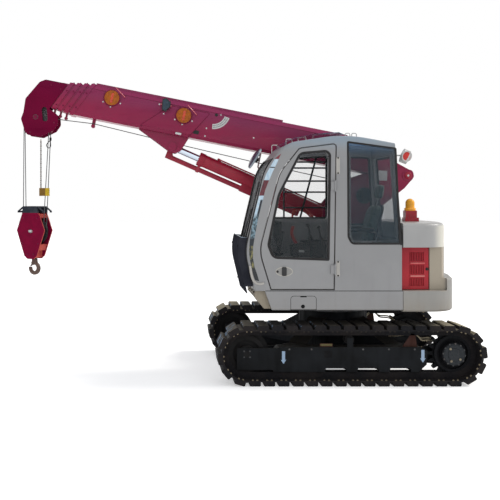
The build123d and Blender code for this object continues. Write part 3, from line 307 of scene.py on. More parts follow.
def weight_paint():
    """Cream counterweight paint, warmer and paler inside the side pockets."""
    s = Shader("weight_paint")
    cloudy, streak, speckle = paint_grain(s)
    shade = s.ramp(cloudy, 0.35, 0.68, (0.275, 0.270, 0.258), (0.308, 0.300, 0.283))
    shade = s.mix(s.times(s.fade(streak, 0.54, 0.78), 0.15), shade, (0.22, 0.21, 0.19))
    pocket = s.times(s.fade(s.z(), 1.00, 1.03), s.fade(s.x(), -1.06, -1.03))
    inside = s.times(s.fade(s.math("ABSOLUTE", s.y()), 1.085, 1.075), pocket)
    shade = s.mix(s.times(inside, 0.85), shade, (0.40, 0.345, 0.265))
    low = s.fade(s.z(), 1.0, 0.80, 0.0, 0.35)
    shade = s.mix(s.times(low, s.fade(streak, 0.3, 0.7, 0.4, 1.0)), shade, DUST)
    height = s.plus(s.times(speckle, 0.3), s.times(cloudy, 2.0))
    return s.finish(shade, (streak, 0.35, 0.75, 0.42, 0.62), (height, 0.25, 0.002), 0.3)


def boom_paint(name, colour, second, sky_reflection, rough=0.34, gloss=0.28):
    """Crimson paint with grease and dark chips; more purple towards the top and along the upper chamfer, a
    painted sky reflection, with a thin dark line of painted shade at the chamfer's foot.
    """
    s = Shader(name)
    cloudy = s.noise(1.6, 5.0)
    smear = s.noise(4.0, 6.0, 0.6, (0.5, 3.0, 3.0), 4.0)
    speckle = s.noise(90.0, 3.0, 0.6, seed=1.0)
    height = s.along(BOOM_UP, BOOM_FOOT)
    shade = s.ramp(cloudy, 0.35, 0.68, colour, second)
    # the sides grow purple towards the top: painted sky reflection
    shade = s.mix(s.fade(height, 0.06, 0.285, 0.0, 0.55), shade, sky_reflection)
    # a thin dark line along the crease at the foot of the chamfer: painted shade
    edge = s.fade(s.math("ABSOLUTE", s.math("SUBTRACT", height, 0.289)), 0.0, 0.006, 0.75, 0.0)
    shade = s.mix(edge, shade, scaled(sky_reflection, 0.35))
    shade = s.mix(s.times(s.fade(smear, 0.55, 0.75), 0.30), shade, scaled(colour, 0.5))
    spot = s.times(s.fade(speckle, 0.66, 0.70), s.fade(smear, 0.5, 0.62), 0.6)
    shade = s.mix(spot, shade, (0.05, 0.02, 0.02))
    lumps = s.plus(s.times(speckle, 0.25), cloudy)
    return s.finish(shade, (smear, 0.35, 0.75, rough * 0.8, rough * 1.5), (lumps, 0.2, 0.0015), gloss)


def block_paint():
    """Crimson hook block under its dark rope guard, with painted sunlight on the plates' edges."""
    s = Shader("hook_block_paint")
    smear, speckle = s.noise(9.0, 6.0, 0.6, seed=4.0), s.noise(90.0, 3.0, 0.6, seed=1.0)
    red = s.ramp(smear, 0.35, 0.7, (0.17, 0.002, 0.028), (0.22, 0.003, 0.034))
    spot = s.times(s.fade(speckle, 0.64, 0.68), s.fade(smear, 0.5, 0.6), 0.6)
    red = s.mix(spot, red, (0.04, 0.02, 0.02))
    # faces turned away from the plates' sides, their edges, get painted sunlight in a pale orange red
    turned = s.math("ABSOLUTE", s.facing((-sin(BLOCK_TURN), cos(BLOCK_TURN), 0)))
    sunlit_edges = s.times(s.fade(turned, 0.30, 0.12), s.fade(smear, 0.30, 0.55, 0.55, 1.0))
    red = s.mix(sunlit_edges, red, (0.62, 0.11, 0.085))
    dark = s.ramp(smear, 0.4, 0.65, (0.025, 0.030, 0.042), (0.05, 0.055, 0.066))
    shade = s.mix(s.fade(s.z(), 1.8385, 1.8395), red, dark)
    return s.finish(shade, (smear, 0.3, 0.7, 0.40, 0.6), (speckle, 0.2, 0.001), 0.05)


def two_tone(name, near, far, level, direction=UP, origin=(0, 0, 0), rough=0.45, gloss=0.3, grit=0.25):
    """Two finishes on one node, before and past a level along a direction."""
    s = Shader(name)
    fine = s.noise(40.0)
    past = s.fade(s.along(direction, origin), level - 0.0005, level + 0.0005)
    near_grain = s.ramp(fine, 0.4, 0.65, near, scaled(near, 0.7))
    far_grain = s.ramp(fine, 0.4, 0.65, far, scaled(far, 0.8))
    shade = s.mix(past, near_grain, far_grain)
    return s.finish(shade, (fine, 0.3, 0.7, rough * 0.8, rough * 1.3), (fine, grit, 0.0008), gloss)


def lamp_parts():
    """Side markers amber, work lamp between them black."""
    s = Shader("boom_lamp_parts")
    fine = s.noise(60.0)
    reach = s.along(BOOM_ALONG, BOOM_FOOT)
    black = s.times(s.fade(reach, 2.900, 2.905), s.fade(reach, 3.130, 3.125))
    amber = s.ramp(fine, 0.4, 0.65, (0.30, 0.07, 0.010), (0.22, 0.05, 0.008))
    dark = s.ramp(fine, 0.4, 0.65, (0.016, 0.018, 0.022), (0.026, 0.029, 0.034))
    return s.finish(s.mix(black, amber, dark), (fine, 0.3, 0.7, 0.3, 0.5), (fine, 0.2, 0.0006))


def steel(name, colour, second, rough, metallic, rust, scale=18.0):
    """Bare or oiled steel with fine scratches and a little rust."""
    s = Shader(name)
    broad, fine = s.noise(scale * 0.3, 5.0), s.noise(scale * 6.0, 4.0, 0.6, (0.3, 1.0, 1.0), 5.0)
    spots = s.fade(s.noise(scale, 8.0, 0.7, seed=9.0), 0.5, 0.66, 0.0, rust)
    shade = s.mix(spots, s.ramp(broad, 0.35, 0.7, colour, second), RUST)
    s.link(s.math("SUBTRACT", metallic, spots, clamp=True), "Metallic")
    return s.finish(shade, (fine, 0.3, 0.7, rough * 0.7, min(1.0, rough * 1.4)), (fine, 0.2, 0.0006))


def shoe_nut():
    """Shoe bolts, dark, and pale at the ends of the tracks, outside the deck's shadow, as painted sunlight;
    paler also low down.
    """
    s = Shader("shoe_bolt")
    fine = s.noise(60.0)
    # pale at the ends, where the deck casts no shadow: painted sunlight
    away = s.fade(s.math("ABSOLUTE", s.x()), 0.85, 1.15)
    bright = s.math("MAXIMUM", away, s.fade(s.z(), 0.14, 0.10, 0.0, 0.6))
    dull = s.ramp(fine, 0.35, 0.7, (0.020, 0.017, 0.014), (0.045, 0.037, 0.028))
    worn = s.ramp(fine, 0.35, 0.7, (0.20, 0.165, 0.11), (0.34, 0.28, 0.19))
    return s.finish(s.mix(bright, dull, worn), (fine, 0.3, 0.7, 0.4, 0.7), (fine, 0.3, 0.0006), 0.2)


def rope_steel():
    """Greased wire rope: strands that wind round it."""
    s = Shader("wire_rope")
    strand = s.wave(42.0, 0.6, "DIAGONAL")
    shade = s.mix(strand, (0.035, 0.035, 0.037), (0.15, 0.155, 0.16))
    return s.finish(shade, (strand, 0.0, 1.0, 0.6, 0.35), (strand, 0.6, 0.0012), Metallic=0.6)


def rod_chrome():
    """Chromed rod; its bracket and the guide bar beside it are painted."""
    s = Shader("chrome_rod")
    off_up, off_side = s.along(LIFT_UP, LIFT_FOOT), s.along((0, 1, 0), LIFT_FOOT)
    away = s.math("SQRT", s.plus(s.math("POWER", off_up, 2.0), s.math("POWER", off_side, 2.0)))
    short = s.fade(s.along(LIFT_ALONG, LIFT_FOOT), 2.030, 2.034, 1.0, 0.0)
    bare = s.times(s.fade(away, 0.0445, 0.0455, 1.0, 0.0), short)
    wear = s.noise(30.0, 5.0, 0.6, (0.2, 1, 1))
    red = s.ramp(wear, 0.35, 0.7, (0.25, 0.006, 0.028), (0.33, 0.010, 0.034))
    s.link(bare, "Metallic")
    shade = s.mix(bare, red, (0.50, 0.56, 0.64))
    return s.finish(shade, (bare, 0.0, 1.0, 0.38, 0.12), (wear, 0.1, 0.0006), 0.3)


def display_glass():
    """Dark face of the display with faint dust."""
    s = Shader("display_glass")
    haze = s.noise(6.0, 6.0, 0.65)
    shade = s.mix(s.fade(haze, 0.4, 0.75, 0.0, 0.25), (0.010, 0.014, 0.018), (0.20, 0.22, 0.23))
    return s.finish(shade, (haze, 0.35, 0.75, 0.04, 0.16), None, 0.6, IOR=1.5)


def cab_glass():
    """Fixed panes: clear on the right and in front; at the left rear darker, with a blue band of painted sky
    reflection at its top and painted shade in its lower rear corner; the left front panes tinted with a painted
    sky reflection.
    """
    s = Shader("cab_glass")
    haze = s.noise(6.0, 6.0, 0.65)
    height = s.z()
    rear = s.times(s.fade(s.y(), 1.0, 1.01), s.fade(s.x(), 0.30, 0.29))
    front = s.times(s.fade(s.y(), 1.0, 1.01), s.fade(s.x(), 0.55, 0.56))
    roof = s.fade(height, 2.58, 2.59)
    band = s.times(rear, s.fade(height, 2.46, 2.60))
    shade = s.mix(s.fade(haze, 0.4, 0.75, 0.0, 0.25), (0.022, 0.042, 0.058), (0.10, 0.13, 0.16))
    # blue band at the top of the left rear window: painted sky reflection
    shade = s.mix(band, shade, (0.060, 0.115, 0.20))
    # left front panes tinted blue: painted sky reflection
    shade = s.mix(front, shade, (0.14, 0.27, 0.36))
    shade = s.mix(s.times(roof, s.math("SUBTRACT", 1.0, rear)), shade, (0.10, 0.05, 0.12))
    # lower rear corner of the left rear window more opaque: painted shade
    corner = s.times(s.fade(s.x(), -0.22, -0.40), s.fade(height, 2.15, 1.95))
    cover = s.plus(s.times(rear, 0.28), s.times(front, 0.32), s.times(band, 0.25), s.times(roof, 0.45))
    cover = s.plus(cover, s.times(rear, corner, 0.16))
    s.link(s.plus(cover, 0.06, clamp=True), "Alpha")
    return s.finish(shade, (haze, 0.35, 0.75, 0.03, 0.14), None, 0.3, IOR=1.5)


def door_pane():
    """Pane of the door: clear above; darker below the line where the cab's inside stands behind it, a painted
    shade, and darker in a band at the top.
    """
    s = Shader("door_pane")
    haze = s.noise(6.0, 6.0, 0.65)
    shade = s.mix(s.fade(haze, 0.4, 0.75, 0.0, 0.2), (0.008, 0.014, 0.018), (0.10, 0.12, 0.13))
    # painted shade of the cab's inside low down, and a darker band at the top
    cover = s.plus(s.fade(s.z(), 1.84, 1.74, 0.0, 0.34), s.fade(s.z(), 2.42, 2.50, 0.0, 0.22))
    s.link(s.plus(cover, 0.06, clamp=True), "Alpha")
    return s.finish(shade, (haze, 0.35, 0.75, 0.03, 0.12), None, 0.3, IOR=1.5)


def quarter_pane():
    """Narrow corner pane that mirrors sky, yard and boom in bands, one above another."""
    s = Shader("quarter_pane")
    wobble, grain = s.noise(7.0, 4.0, 0.6), s.noise(26.0, 5.0, 0.65, (1.6, 1.0, 0.8), 2.0)
    height = s.plus(s.z(), s.times(s.math("SUBTRACT", wobble, 0.5), 0.03))
    sky = s.ramp(grain, 0.35, 0.7, (0.40, 0.56, 0.70), (0.62, 0.74, 0.82))
    mottled = s.ramp(grain, 0.44, 0.56, (0.20, 0.31, 0.38), (0.035, 0.060, 0.072))
    yard = s.ramp(grain, 0.44, 0.60, (0.025, 0.030, 0.032), (0.24, 0.22, 0.09))
    mast = s.ramp(grain, 0.40, 0.65, (0.15, 0.030, 0.040), (0.075, 0.020, 0.030))
    across = s.along((0.973, 0, 0.231), (0.996, 0, 1.92))
    slot = s.times(s.fade(across, 0.006, 0.001), s.fade(across, -0.022, -0.017), s.fade(height, 2.01, 1.99))
    sky_low = s.mix(slot, sky, (0.020, 0.024, 0.032))
    shade = (0.022, 0.026, 0.030)
    bands = ((1.250, 1.275, yard), (1.490, 1.515, (0.020, 0.026, 0.034)), (1.570, 1.610, mottled),
             (1.790, 1.860, sky_low), (2.036, 2.046, mast), (2.209, 2.219, sky))
    for low, high, colour in bands:
        shade = s.mix(s.fade(height, low, high), shade, colour)
    crossbar = s.times(s.fade(height, 2.341, 2.345), s.fade(height, 2.357, 2.353))
    shade = s.mix(crossbar, shade, (0.03, 0.035, 0.045))
    shade = s.ramp(height, 2.434, 2.444, shade, (0.20, 0.030, 0.045))
    return s.finish(shade, (grain, 0.35, 0.75, 0.06, 0.22), None, 0.3, IOR=1.5)


def hub_black():
    """Sprocket black, its outer cover a greyer black."""
    s = Shader("hub_black")
    fine = s.noise(60.0, 5.0, 0.65, seed=2.0)
    out = s.fade(s.math("ABSOLUTE", s.y()), 1.060, 1.064)
    cover = s.ramp(fine, 0.35, 0.65, (0.026, 0.030, 0.034), (0.044, 0.048, 0.052))
    shade = s.mix(out, (0.006, 0.0065, 0.008), cover)
    return s.finish(shade, (fine, 0.3, 0.7, 0.55, 0.85), (fine, 0.35, 0.001), 0.12)


def lens(name, colour, glow=0.0, gloss=0.35):
    """Ribbed lamp lens."""
    s = Shader(name)
    ribs, grain = s.wave(45.0, 0.4), s.noise(30.0, 3.0)
    bright = tuple(min(1, c * 1.3) for c in colour)
    shade = s.mix(s.times(ribs, 0.35), s.ramp(grain, 0.35, 0.7, colour, scaled(colour, 0.6)), bright)
    return s.finish(shade, (grain, 0.3, 0.7, 0.12, 0.25), (ribs, 0.35, 0.001), gloss,
                    Emission_Color=(*colour, 1.0), Emission_Strength=glow)


def cloth(name, colour, second):
    """Woven seat cloth: two crossing waves for the weave, with a soft sheen."""
    s = Shader(name)
    weave = s.times(s.wave(95.0, 1.2, "X"), s.wave(95.0, 1.2, "Z"))
    broad = s.noise(9.0)
    shade = s.mix(s.times(weave, 0.5), s.ramp(broad, 0.35, 0.7, colour, second), scaled(second, 1.7))
    return s.finish(shade, (broad, 0.3, 0.7, 0.8, 0.95), (weave, 0.4, 0.001), 0.2,
                    Sheen_Weight=0.35, Sheen_Roughness=0.5)


CRIMSON, CRIMSON_TWO, PLUM_SKY_REFLECTION = (0.230, 0.0025, 0.048), (0.285, 0.004, 0.052), (0.185, 0.014, 0.088)
ACROSS_WEIGHT = (cos(BLOCK_TURN), sin(BLOCK_TURN), 0)
shaders = {
    # body: its highest faces take a bluish painted sky reflection
    "body": paint("body_paint", (0.272, 0.273, 0.279), (0.294, 0.295, 0.301), 0.36, 0.25, 0.08, streaks=0.12,
                  top_sky_sheen=0.75),
    # hood: the body's white made paler, and paler still on faces towards the rear: painted sunlight
    "hood": paint("hood_paint_sunlit", (0.355, 0.354, 0.352), (0.385, 0.383, 0.380), 0.36, 0.25, 0.08, streaks=0.12,
                  top_sky_sheen=0.6, rear=0.85),
    "weight": weight_paint(),
    "boom_red": boom_paint("boom_paint", CRIMSON, CRIMSON_TWO, PLUM_SKY_REFLECTION),
    # the head: a darker copy of the boom's crimson, painted shade
    "head_red_shaded": boom_paint("head_paint_shaded", (0.125, 0.0015, 0.026), (0.165, 0.002, 0.032), (0.125, 0.004, 0.036),
                           0.5, 0.05),
    "vent_red": paint("vent_paint", (0.36, 0.010, 0.022), (0.44, 0.016, 0.026), 0.36, chips=0.4, gloss=0.3),
    # painted highlight along the louvres' ridges
    "ridge_highlight_red": paint("louvre_ridge_highlight", (0.60, 0.10, 0.10), (0.78, 0.28, 0.25), 0.3, streaks=0.1, gloss=0.5),
    "barrel_red": paint("barrel_paint", (0.30, 0.006, 0.030), (0.38, 0.010, 0.034), 0.34, chips=0.5),
    "frame_grey": paint("frame_paint", (0.008, 0.009, 0.011), (0.015, 0.016, 0.019), 0.55, dust_top=0.2,
                        gloss=0.15),
    "engine": paint("engine_paint", (0.06, 0.063, 0.066), (0.09, 0.094, 0.10), 0.5, dust_top=0.3, gloss=0.25),
    "step": paint("step_paint", (0.27, 0.235, 0.18), (0.34, 0.30, 0.235), 0.6, 0.5, chips=0.9, gloss=0.2),
    "under": paint("undercarriage_paint", (0.0045, 0.0055, 0.007), (0.010, 0.012, 0.015), 0.6, 0.01, 0.12,
                   gloss=0.10),
    "hook_block": block_paint(),
    "white_bar": paint("white_bar", (0.52, 0.52, 0.51), (0.60, 0.60, 0.59), 0.35),
    "dark_bar": paint("guard_bar", (0.014, 0.018, 0.022), (0.024, 0.029, 0.034), 0.45, gloss=0.2),
    "pale_blue": paint("tie_mark", (0.30, 0.42, 0.58), (0.38, 0.50, 0.66), 0.5, chips=0.8),
    "plate": paint("blank_plate", (0.55, 0.56, 0.56), (0.62, 0.63, 0.63), 0.4, chips=0.5),
    "lamp_white": paint("lamp_shell", (0.55, 0.55, 0.54), (0.62, 0.62, 0.61), 0.35),
    "hose_red": paint("hose_red", (0.40, 0.020, 0.020), (0.50, 0.030, 0.025), 0.4),
    "hose_pale": paint("pale_hose", (0.20, 0.17, 0.12), (0.28, 0.24, 0.17), 0.6, gloss=0.2),
    "rust_brown": paint("rusty_bracket", (0.045, 0.018, 0.014), (0.075, 0.032, 0.022), 0.6, gloss=0.15),
    "olive": paint("olive_plate", (0.085, 0.068, 0.018), (0.13, 0.105, 0.03), 0.5, chips=0.6),
    # the handle's recess darker, painted shade; its rim paler, painted highlight
    "bowl": paint("recess_bowl_shade", (0.25, 0.245, 0.24), (0.29, 0.285, 0.275), 0.4, gloss=0.3),
    "rim": paint("recess_rim_highlight", (0.40, 0.39, 0.36), (0.46, 0.44, 0.40), 0.3, gloss=0.4),
    # pale blue: painted sky reflection on the guard's rail and the mirror's rim
    "sky_glint_edge": paint("sky_glint_edge", (0.26, 0.32, 0.38), (0.34, 0.40, 0.46), 0.35),
    "weld": paint("dark_crimson", (0.145, 0.002, 0.034), (0.17, 0.003, 0.038), 0.5, gloss=0.2),
    "hoop": paint("hoop_red", (0.52, 0.09, 0.11), (0.60, 0.14, 0.15), 0.25, gloss=0.5),
    # paler than the body's paint: painted highlight on the cab's tubes and hinge covers
    "tube": paint("cab_tube_highlight", (0.40, 0.385, 0.36), (0.45, 0.43, 0.40), 0.32, 0.2, streaks=0.1),
    "track": track_rubber(),
    "wheel": rubber("wheel_black", (0.004, 0.0045, 0.006), (0.010, 0.011, 0.013), gloss=0.08),
    "plastic": rubber("black_plastic", (0.014, 0.015, 0.018), (0.024, 0.026, 0.030), 0.45, 0.12, 0.3),
    "guard": rubber("guard_black", (0.019, 0.022, 0.032), (0.031, 0.034, 0.046), 0.8, gloss=0.0),
    "gasket": rubber("window_gasket", (0.008, 0.008, 0.010), (0.016, 0.017, 0.020), 0.5, 0.05),
    "hose": rubber("hose_rubber", (0.012, 0.012, 0.013), (0.022, 0.022, 0.024), 0.55, 0.3),
    "lip": rubber("door_lip", (0.045, 0.043, 0.042), (0.075, 0.072, 0.070), gloss=0.1),
    "mirror_shell": rubber("mirror_back", (0.030, 0.024, 0.055), (0.055, 0.040, 0.085), 0.18, 0.05, 0.6),
    "seam": rubber("dark_gap", (0.006, 0.006, 0.007), (0.012, 0.012, 0.013), 0.8, 0.0, 0.1),
    "bearing": steel("bearing_steel", (0.05, 0.052, 0.055), (0.10, 0.10, 0.10), 0.45, 0.8, 0.3),
    "pin": steel("pin_steel", (0.36, 0.37, 0.38), (0.46, 0.46, 0.46), 0.35, 0.9, 0.2),
    "hook": steel("hook_steel", (0.075, 0.045, 0.038), (0.13, 0.085, 0.065), 0.5, 0.5, 0.7),
    "drum": steel("drum_steel", (0.08, 0.085, 0.09), (0.14, 0.14, 0.15), 0.4, 0.9, 0.25, 40.0),
    "sheave": steel("sheave_grey", (0.05, 0.052, 0.056), (0.09, 0.09, 0.095), 0.45, 0.7, 0.2),
    "nut": steel("bolt_steel", (0.20, 0.17, 0.12), (0.30, 0.26, 0.19), 0.5, 0.3, 0.3),
    "chain": steel("chain_steel", (0.30, 0.31, 0.33), (0.42, 0.43, 0.45), 0.4, 0.8, 0.15),
    "shoe_nut": shoe_nut(),
    "hub": hub_black(),
    "rope": rope_steel(),
    "chrome": rod_chrome(),
    "cab_glass": cab_glass(),
    "door_pane": door_pane(),
    "quarter": quarter_pane(),
    "display": display_glass(),
    "lamp_glass": lens("work_lamp_glass", (0.035, 0.058, 0.082), 0.0, 0.15),
    "beacon_lens": lens("beacon_lens", (0.95, 0.42, 0.05), 0.15),
    "red_lens": lens("red_lens", (0.55, 0.02, 0.015), 0.05),
    # bar of painted red reflection on the marker lenses, glowing a little
    "red_glint_bar": lens("marker_glint_paint", (0.62, 0.06, 0.02), 0.03),
    "amber_dull": lens("marker_lens", (0.40, 0.105, 0.010), 0.0, 0.15),
    "lamp_parts": lamp_parts(),
    "beacon": two_tone("beacon_parts", (0.42, 0.008, 0.024), (1.0, 0.46, 0.04), HOOD_TOP + 0.125, rough=0.25,
                       grit=0.2),
    # over-hoist weight: yellow, its forward half brown as painted shade
    "two_tone": two_tone("weight_lit_and_shaded", (0.62, 0.42, 0.02), (0.22, 0.115, 0.016), -0.022,
                         ACROSS_WEIGHT, (3.4665, -0.1452, 0), gloss=0.2),
    "mirror_parts": two_tone("mirror_parts", (0.30, 0.19, 0.20), (0.030, 0.022, 0.055), -0.0135,
                             (0.853, 0, 0.522), (0.942, 0, 2.490), 0.3, 0.5),
    "fabric": cloth("seat_cloth", (0.060, 0.095, 0.088), (0.080, 0.120, 0.108)),
}
mats = {name: shader.material for name, shader in shaders.items()}

SLOT_FINISH = {
    "track_steel": "track", "undercarriage_black": "under", "wheel_black": "wheel", "bearing_steel": "bearing",
    "frame_grey": "frame_grey", "body_white": "body", "weight_white": "weight", "boom_red": "boom_red",
    "vent_red": "vent_red", "step_beige": "step", "engine_grey": "engine", "pin_steel": "pin",
    "chrome_rod": "chrome", "drum_steel": "drum", "seat_fabric": "fabric", "console_plastic": "plastic",
    "guard_black": "guard", "bar_white": "dark_bar", "beacon_amber": "beacon", "lamp_white": "lamp_white",
    "wire_rope": "rope", "hook_steel": "hook", "sheave_grey": "sheave",
}
NODE_FINISH = {
    "lift_barrel": "barrel_red", "boom_head": "head_red_shaded", "cab_glazing": "cab_glass", "door_glass": "door_pane",
    "boom_lamps": "lamp_parts", "hook_block": "hook_block", "overhoist_weight": "two_tone", "sprockets": "hub",
    "mirror": "mirror_parts", "engine_hood": "hood",
}
for name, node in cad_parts.items():
    for slot in node.material_slots:
        key = slot.material.name.split(".")[0] if slot.material else ""
        slot.material = mats[NODE_FINISH.get(name, SLOT_FINISH.get(key, "plastic"))]

# Floor, world and lamps
floor_shader = Shader("floor")
floor_shader.link(floor_shader.mix(floor_shader.noise(0.6, 2.0), (0.90,) * 3, (0.93,) * 3), "Base Color")
floor_shader.link(floor_shader.fade(floor_shader.seen(), 0.0, 1.0, 0.12, 0.42), "Emission Strength")
floor_shader.set(Roughness=1.0, Emission_Color=(1, 1, 1, 1))
floor_mesh = bpy.data.meshes.new("floor")
floor_mesh.from_pydata([(-60, -60, 0), (60, -60, 0), (60, 60, 0), (-60, 60, 0)], [], [(0, 1, 2, 3)])
floor_mesh.materials.append(floor_shader.material)
floor = bpy.data.objects.new("floor", floor_mesh)
bpy.context.collection.objects.link(floor)

world = bpy.data.worlds.new("studio")
bpy.context.scene.world = world
world.use_nodes = True
studio = Tree(world.node_tree)
sky = studio.nodes["Background"]
sky.inputs["Color"].default_value = (0.93, 0.96, 1.0, 1)
sky.inputs["Strength"].default_value = 0.55
white = studio.node("Background", Color=(1, 1, 1, 1), Strength=1.0)
either = studio.node("MixShader")
for output, socket in ((studio.seen(), either.inputs["Fac"]), (sky.outputs[0], either.inputs[1]),
                       (white.outputs[0], either.inputs[2]),
                       (either.outputs[0], studio.nodes["World Output"].inputs["Surface"])):
    studio.tree.links.new(output, socket)


def sun(name, strength, direction, angle, colour=(1, 1, 1)):
    """Distant soft lamp that shines along a direction."""
    data = bpy.data.lights.new(name, "SUN")
    data.energy = strength
    data.angle = radians(angle)
    data.color = colour
    lamp = bpy.data.objects.new(name, data)
    lamp.rotation_euler = Vector(direction).to_track_quat("-Z", "Y").to_euler()
    bpy.context.collection.objects.link(lamp)


sun("key", 2.1, (0.82, 0.14, -0.80), 18, (1.0, 0.96, 0.90))
sun("fill", 0.45, (0.1, -1.0, -0.35), 60)

# Shapes of the added pieces: frames map u, v, w to a point, with w out of the face they stand for

def boom(x, y, z):
    """Point in the boom's own frame, y from its middle plane."""
    return BOOM_FOOT + BOOM_ALONG * x + Vector((0, y, 0)) + BOOM_UP * z


def upright(hand=1, out=0.0):
    """Frame of one side: u forward, v up, w outwards from a plane."""
    return lambda u, v, w: Vector((u, hand * (out + w), v))


def on_boom(hand=1):
    """Frame of one side of the boom, w from its middle plane."""
    return lambda u, v, w: boom(u, hand * w, v)


def on_block(hand=1):
    """Frame of one side of the hanging block: u across its plates' width, v up."""
    c, s = cos(BLOCK_TURN), sin(BLOCK_TURN)
    return lambda u, v, w: BLOCK + Vector((u * c - hand * w * s, u * s + hand * w * c, v))


def on_lift(u, v, w):
    """Frame of the lift cylinder: u along it from its foot pin, v square to it."""
    return LIFT_FOOT + LIFT_ALONG * u + LIFT_UP * v + Vector((0, w, 0))


def plan(u, v, w):
    """Frame of a level plate: u forward, v to the left, w up."""
    return Vector((u, v, w))


def rear_face(u, v, w):
    """Frame of the cab's back: u to the left, v up."""
    return Vector((-0.544 + (v - 1.513) * 0.075 / 1.1 - w, u, v))


def at(place, u, v, w):
    """Point in a frame, and the direction outwards there."""
    return place(u, v, w), place(u, v, w + 1) - place(u, v, w)


side = upright()
cab_side, cab_right = upright(1, CAB_LEFT), upright(-1, CAB_LEFT)
boom_side = on_boom()


def circle(count, radius, phase=0.0):
    """Points evenly spaced on a circle, the first at an angle."""
    return [(radius * cos(a), radius * sin(a)) for a in (2 * pi * k / count + phase for k in range(count))]


def coil(place, radius, low, high, turns, per_turn):
    """Run that winds round a frame's axis from one level to another."""
    made = []
    for k in range(turns * per_turn + 1):
        a = 2 * pi * k / per_turn
        made.append(place(radius * cos(a), radius * sin(a), low + (high - low) * k / (turns * per_turn)))
    return made


def corner_arc(before, here, after, radius, steps, fit=False):
    """Points that turn a corner on an arc, a smaller one where its arms are too short for it."""
    a, b = (before - here).normalized(), (after - here).normalized()
    half = a.angle(b) / 2
    if fit:
        radius = min(radius, 0.45 * min((before - here).length, (after - here).length) * sin(half) / cos(half))
    reach = radius * cos(half) / sin(half)
    middle = here + (a + b).normalized() * (radius / sin(half))
    start, end = here + a * reach - middle, here + b * reach - middle
    return [middle + start.lerp(end, k / steps).normalized() * radius for k in range(steps + 1)]


def rounded(points, radii, steps=6):
    """Closed outline with each corner turned on an arc."""
    if isinstance(radii, (int, float)):
        radii = [radii] * len(points)
    points = [Vector(p) for p in points]
    made = []
    for i, here in enumerate(points):
        if radii[i] <= 0:
            made += [here] * (steps + 1)
        else:
            made += corner_arc(points[i - 1], here, points[(i + 1) % len(points)], radii[i], steps)
    return [(p.x, p.y) for p in made]


def panel(u0, v0, u1, v1, radius=0.0):
    """Rectangular outline between two corners."""
    points = [(u0, v0), (u1, v0), (u1, v1), (u0, v1)]
    return rounded(points, radius) if radius else points


def inset(points, distance):
    """Outline moved inwards, corner by corner."""
    area = sum(a[0] * b[1] - b[0] * a[1] for a, b in zip(points, points[1:] + points[:1]))
    turn = 1 if area > 0 else -1
    made = []
    for i, corner in enumerate(points):
        before, here, after = Vector(points[i - 1]), Vector(corner), Vector(points[(i + 1) % len(points)])
        a, b = (here - before).normalized(), (after - here).normalized()
        na, nb = Vector((-a.y, a.x)) * turn, Vector((-b.y, b.x)) * turn
        both = (na + nb).normalized()
        made.append(tuple(here + both * (distance / max(0.2, both.dot(na)))))
    return made


def bent(points, radius, steps=5):
    """Open run of points with its corners turned on arcs."""
    points = [Vector(p) for p in points]
    made = [points[0]]
    for before, here, after in zip(points, points[1:], points[2:]):
        made += corner_arc(before, here, after, radius, steps, fit=True)
    return made + [points[-1]]


def smooth_run(points, per=8):
    """Smooth curve through points, for hoses."""
    points = [Vector(p) for p in points]
    full = [points[0] * 2 - points[1], *points, points[-1] * 2 - points[-2]]
    made = []
    for a, b, c, d in zip(full, full[1:], full[2:], full[3:]):
        for t in (k / per for k in range(per)):
            square, cube = 2 * a - 5 * b + 4 * c - d, 3 * b - a - 3 * c + d
            made.append(0.5 * (2 * b + (c - a) * t + square * t * t + cube * t ** 3))
    return made + [points[-1]]


def put(name, mesh, finish, body="superstructure", bevel=0.0, smooth=40):
    """Adds a piece: its body, its finish and softened edges."""
    piece = bpy.data.objects.new(name, mesh)
    bpy.context.collection.objects.link(piece)
    mesh.materials.append(mats[finish])
    if bevel:
        soft = piece.modifiers.new("soft", "BEVEL")
        soft.width = bevel
        soft.segments = 2
        soft.limit_method = "ANGLE"
        soft.angle_limit = radians(35)
    for polygon in mesh.polygons:
        polygon.use_smooth = True
    mesh.set_sharp_from_angle(angle=radians(smooth))
    if body:
        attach(piece, body)
    return piece


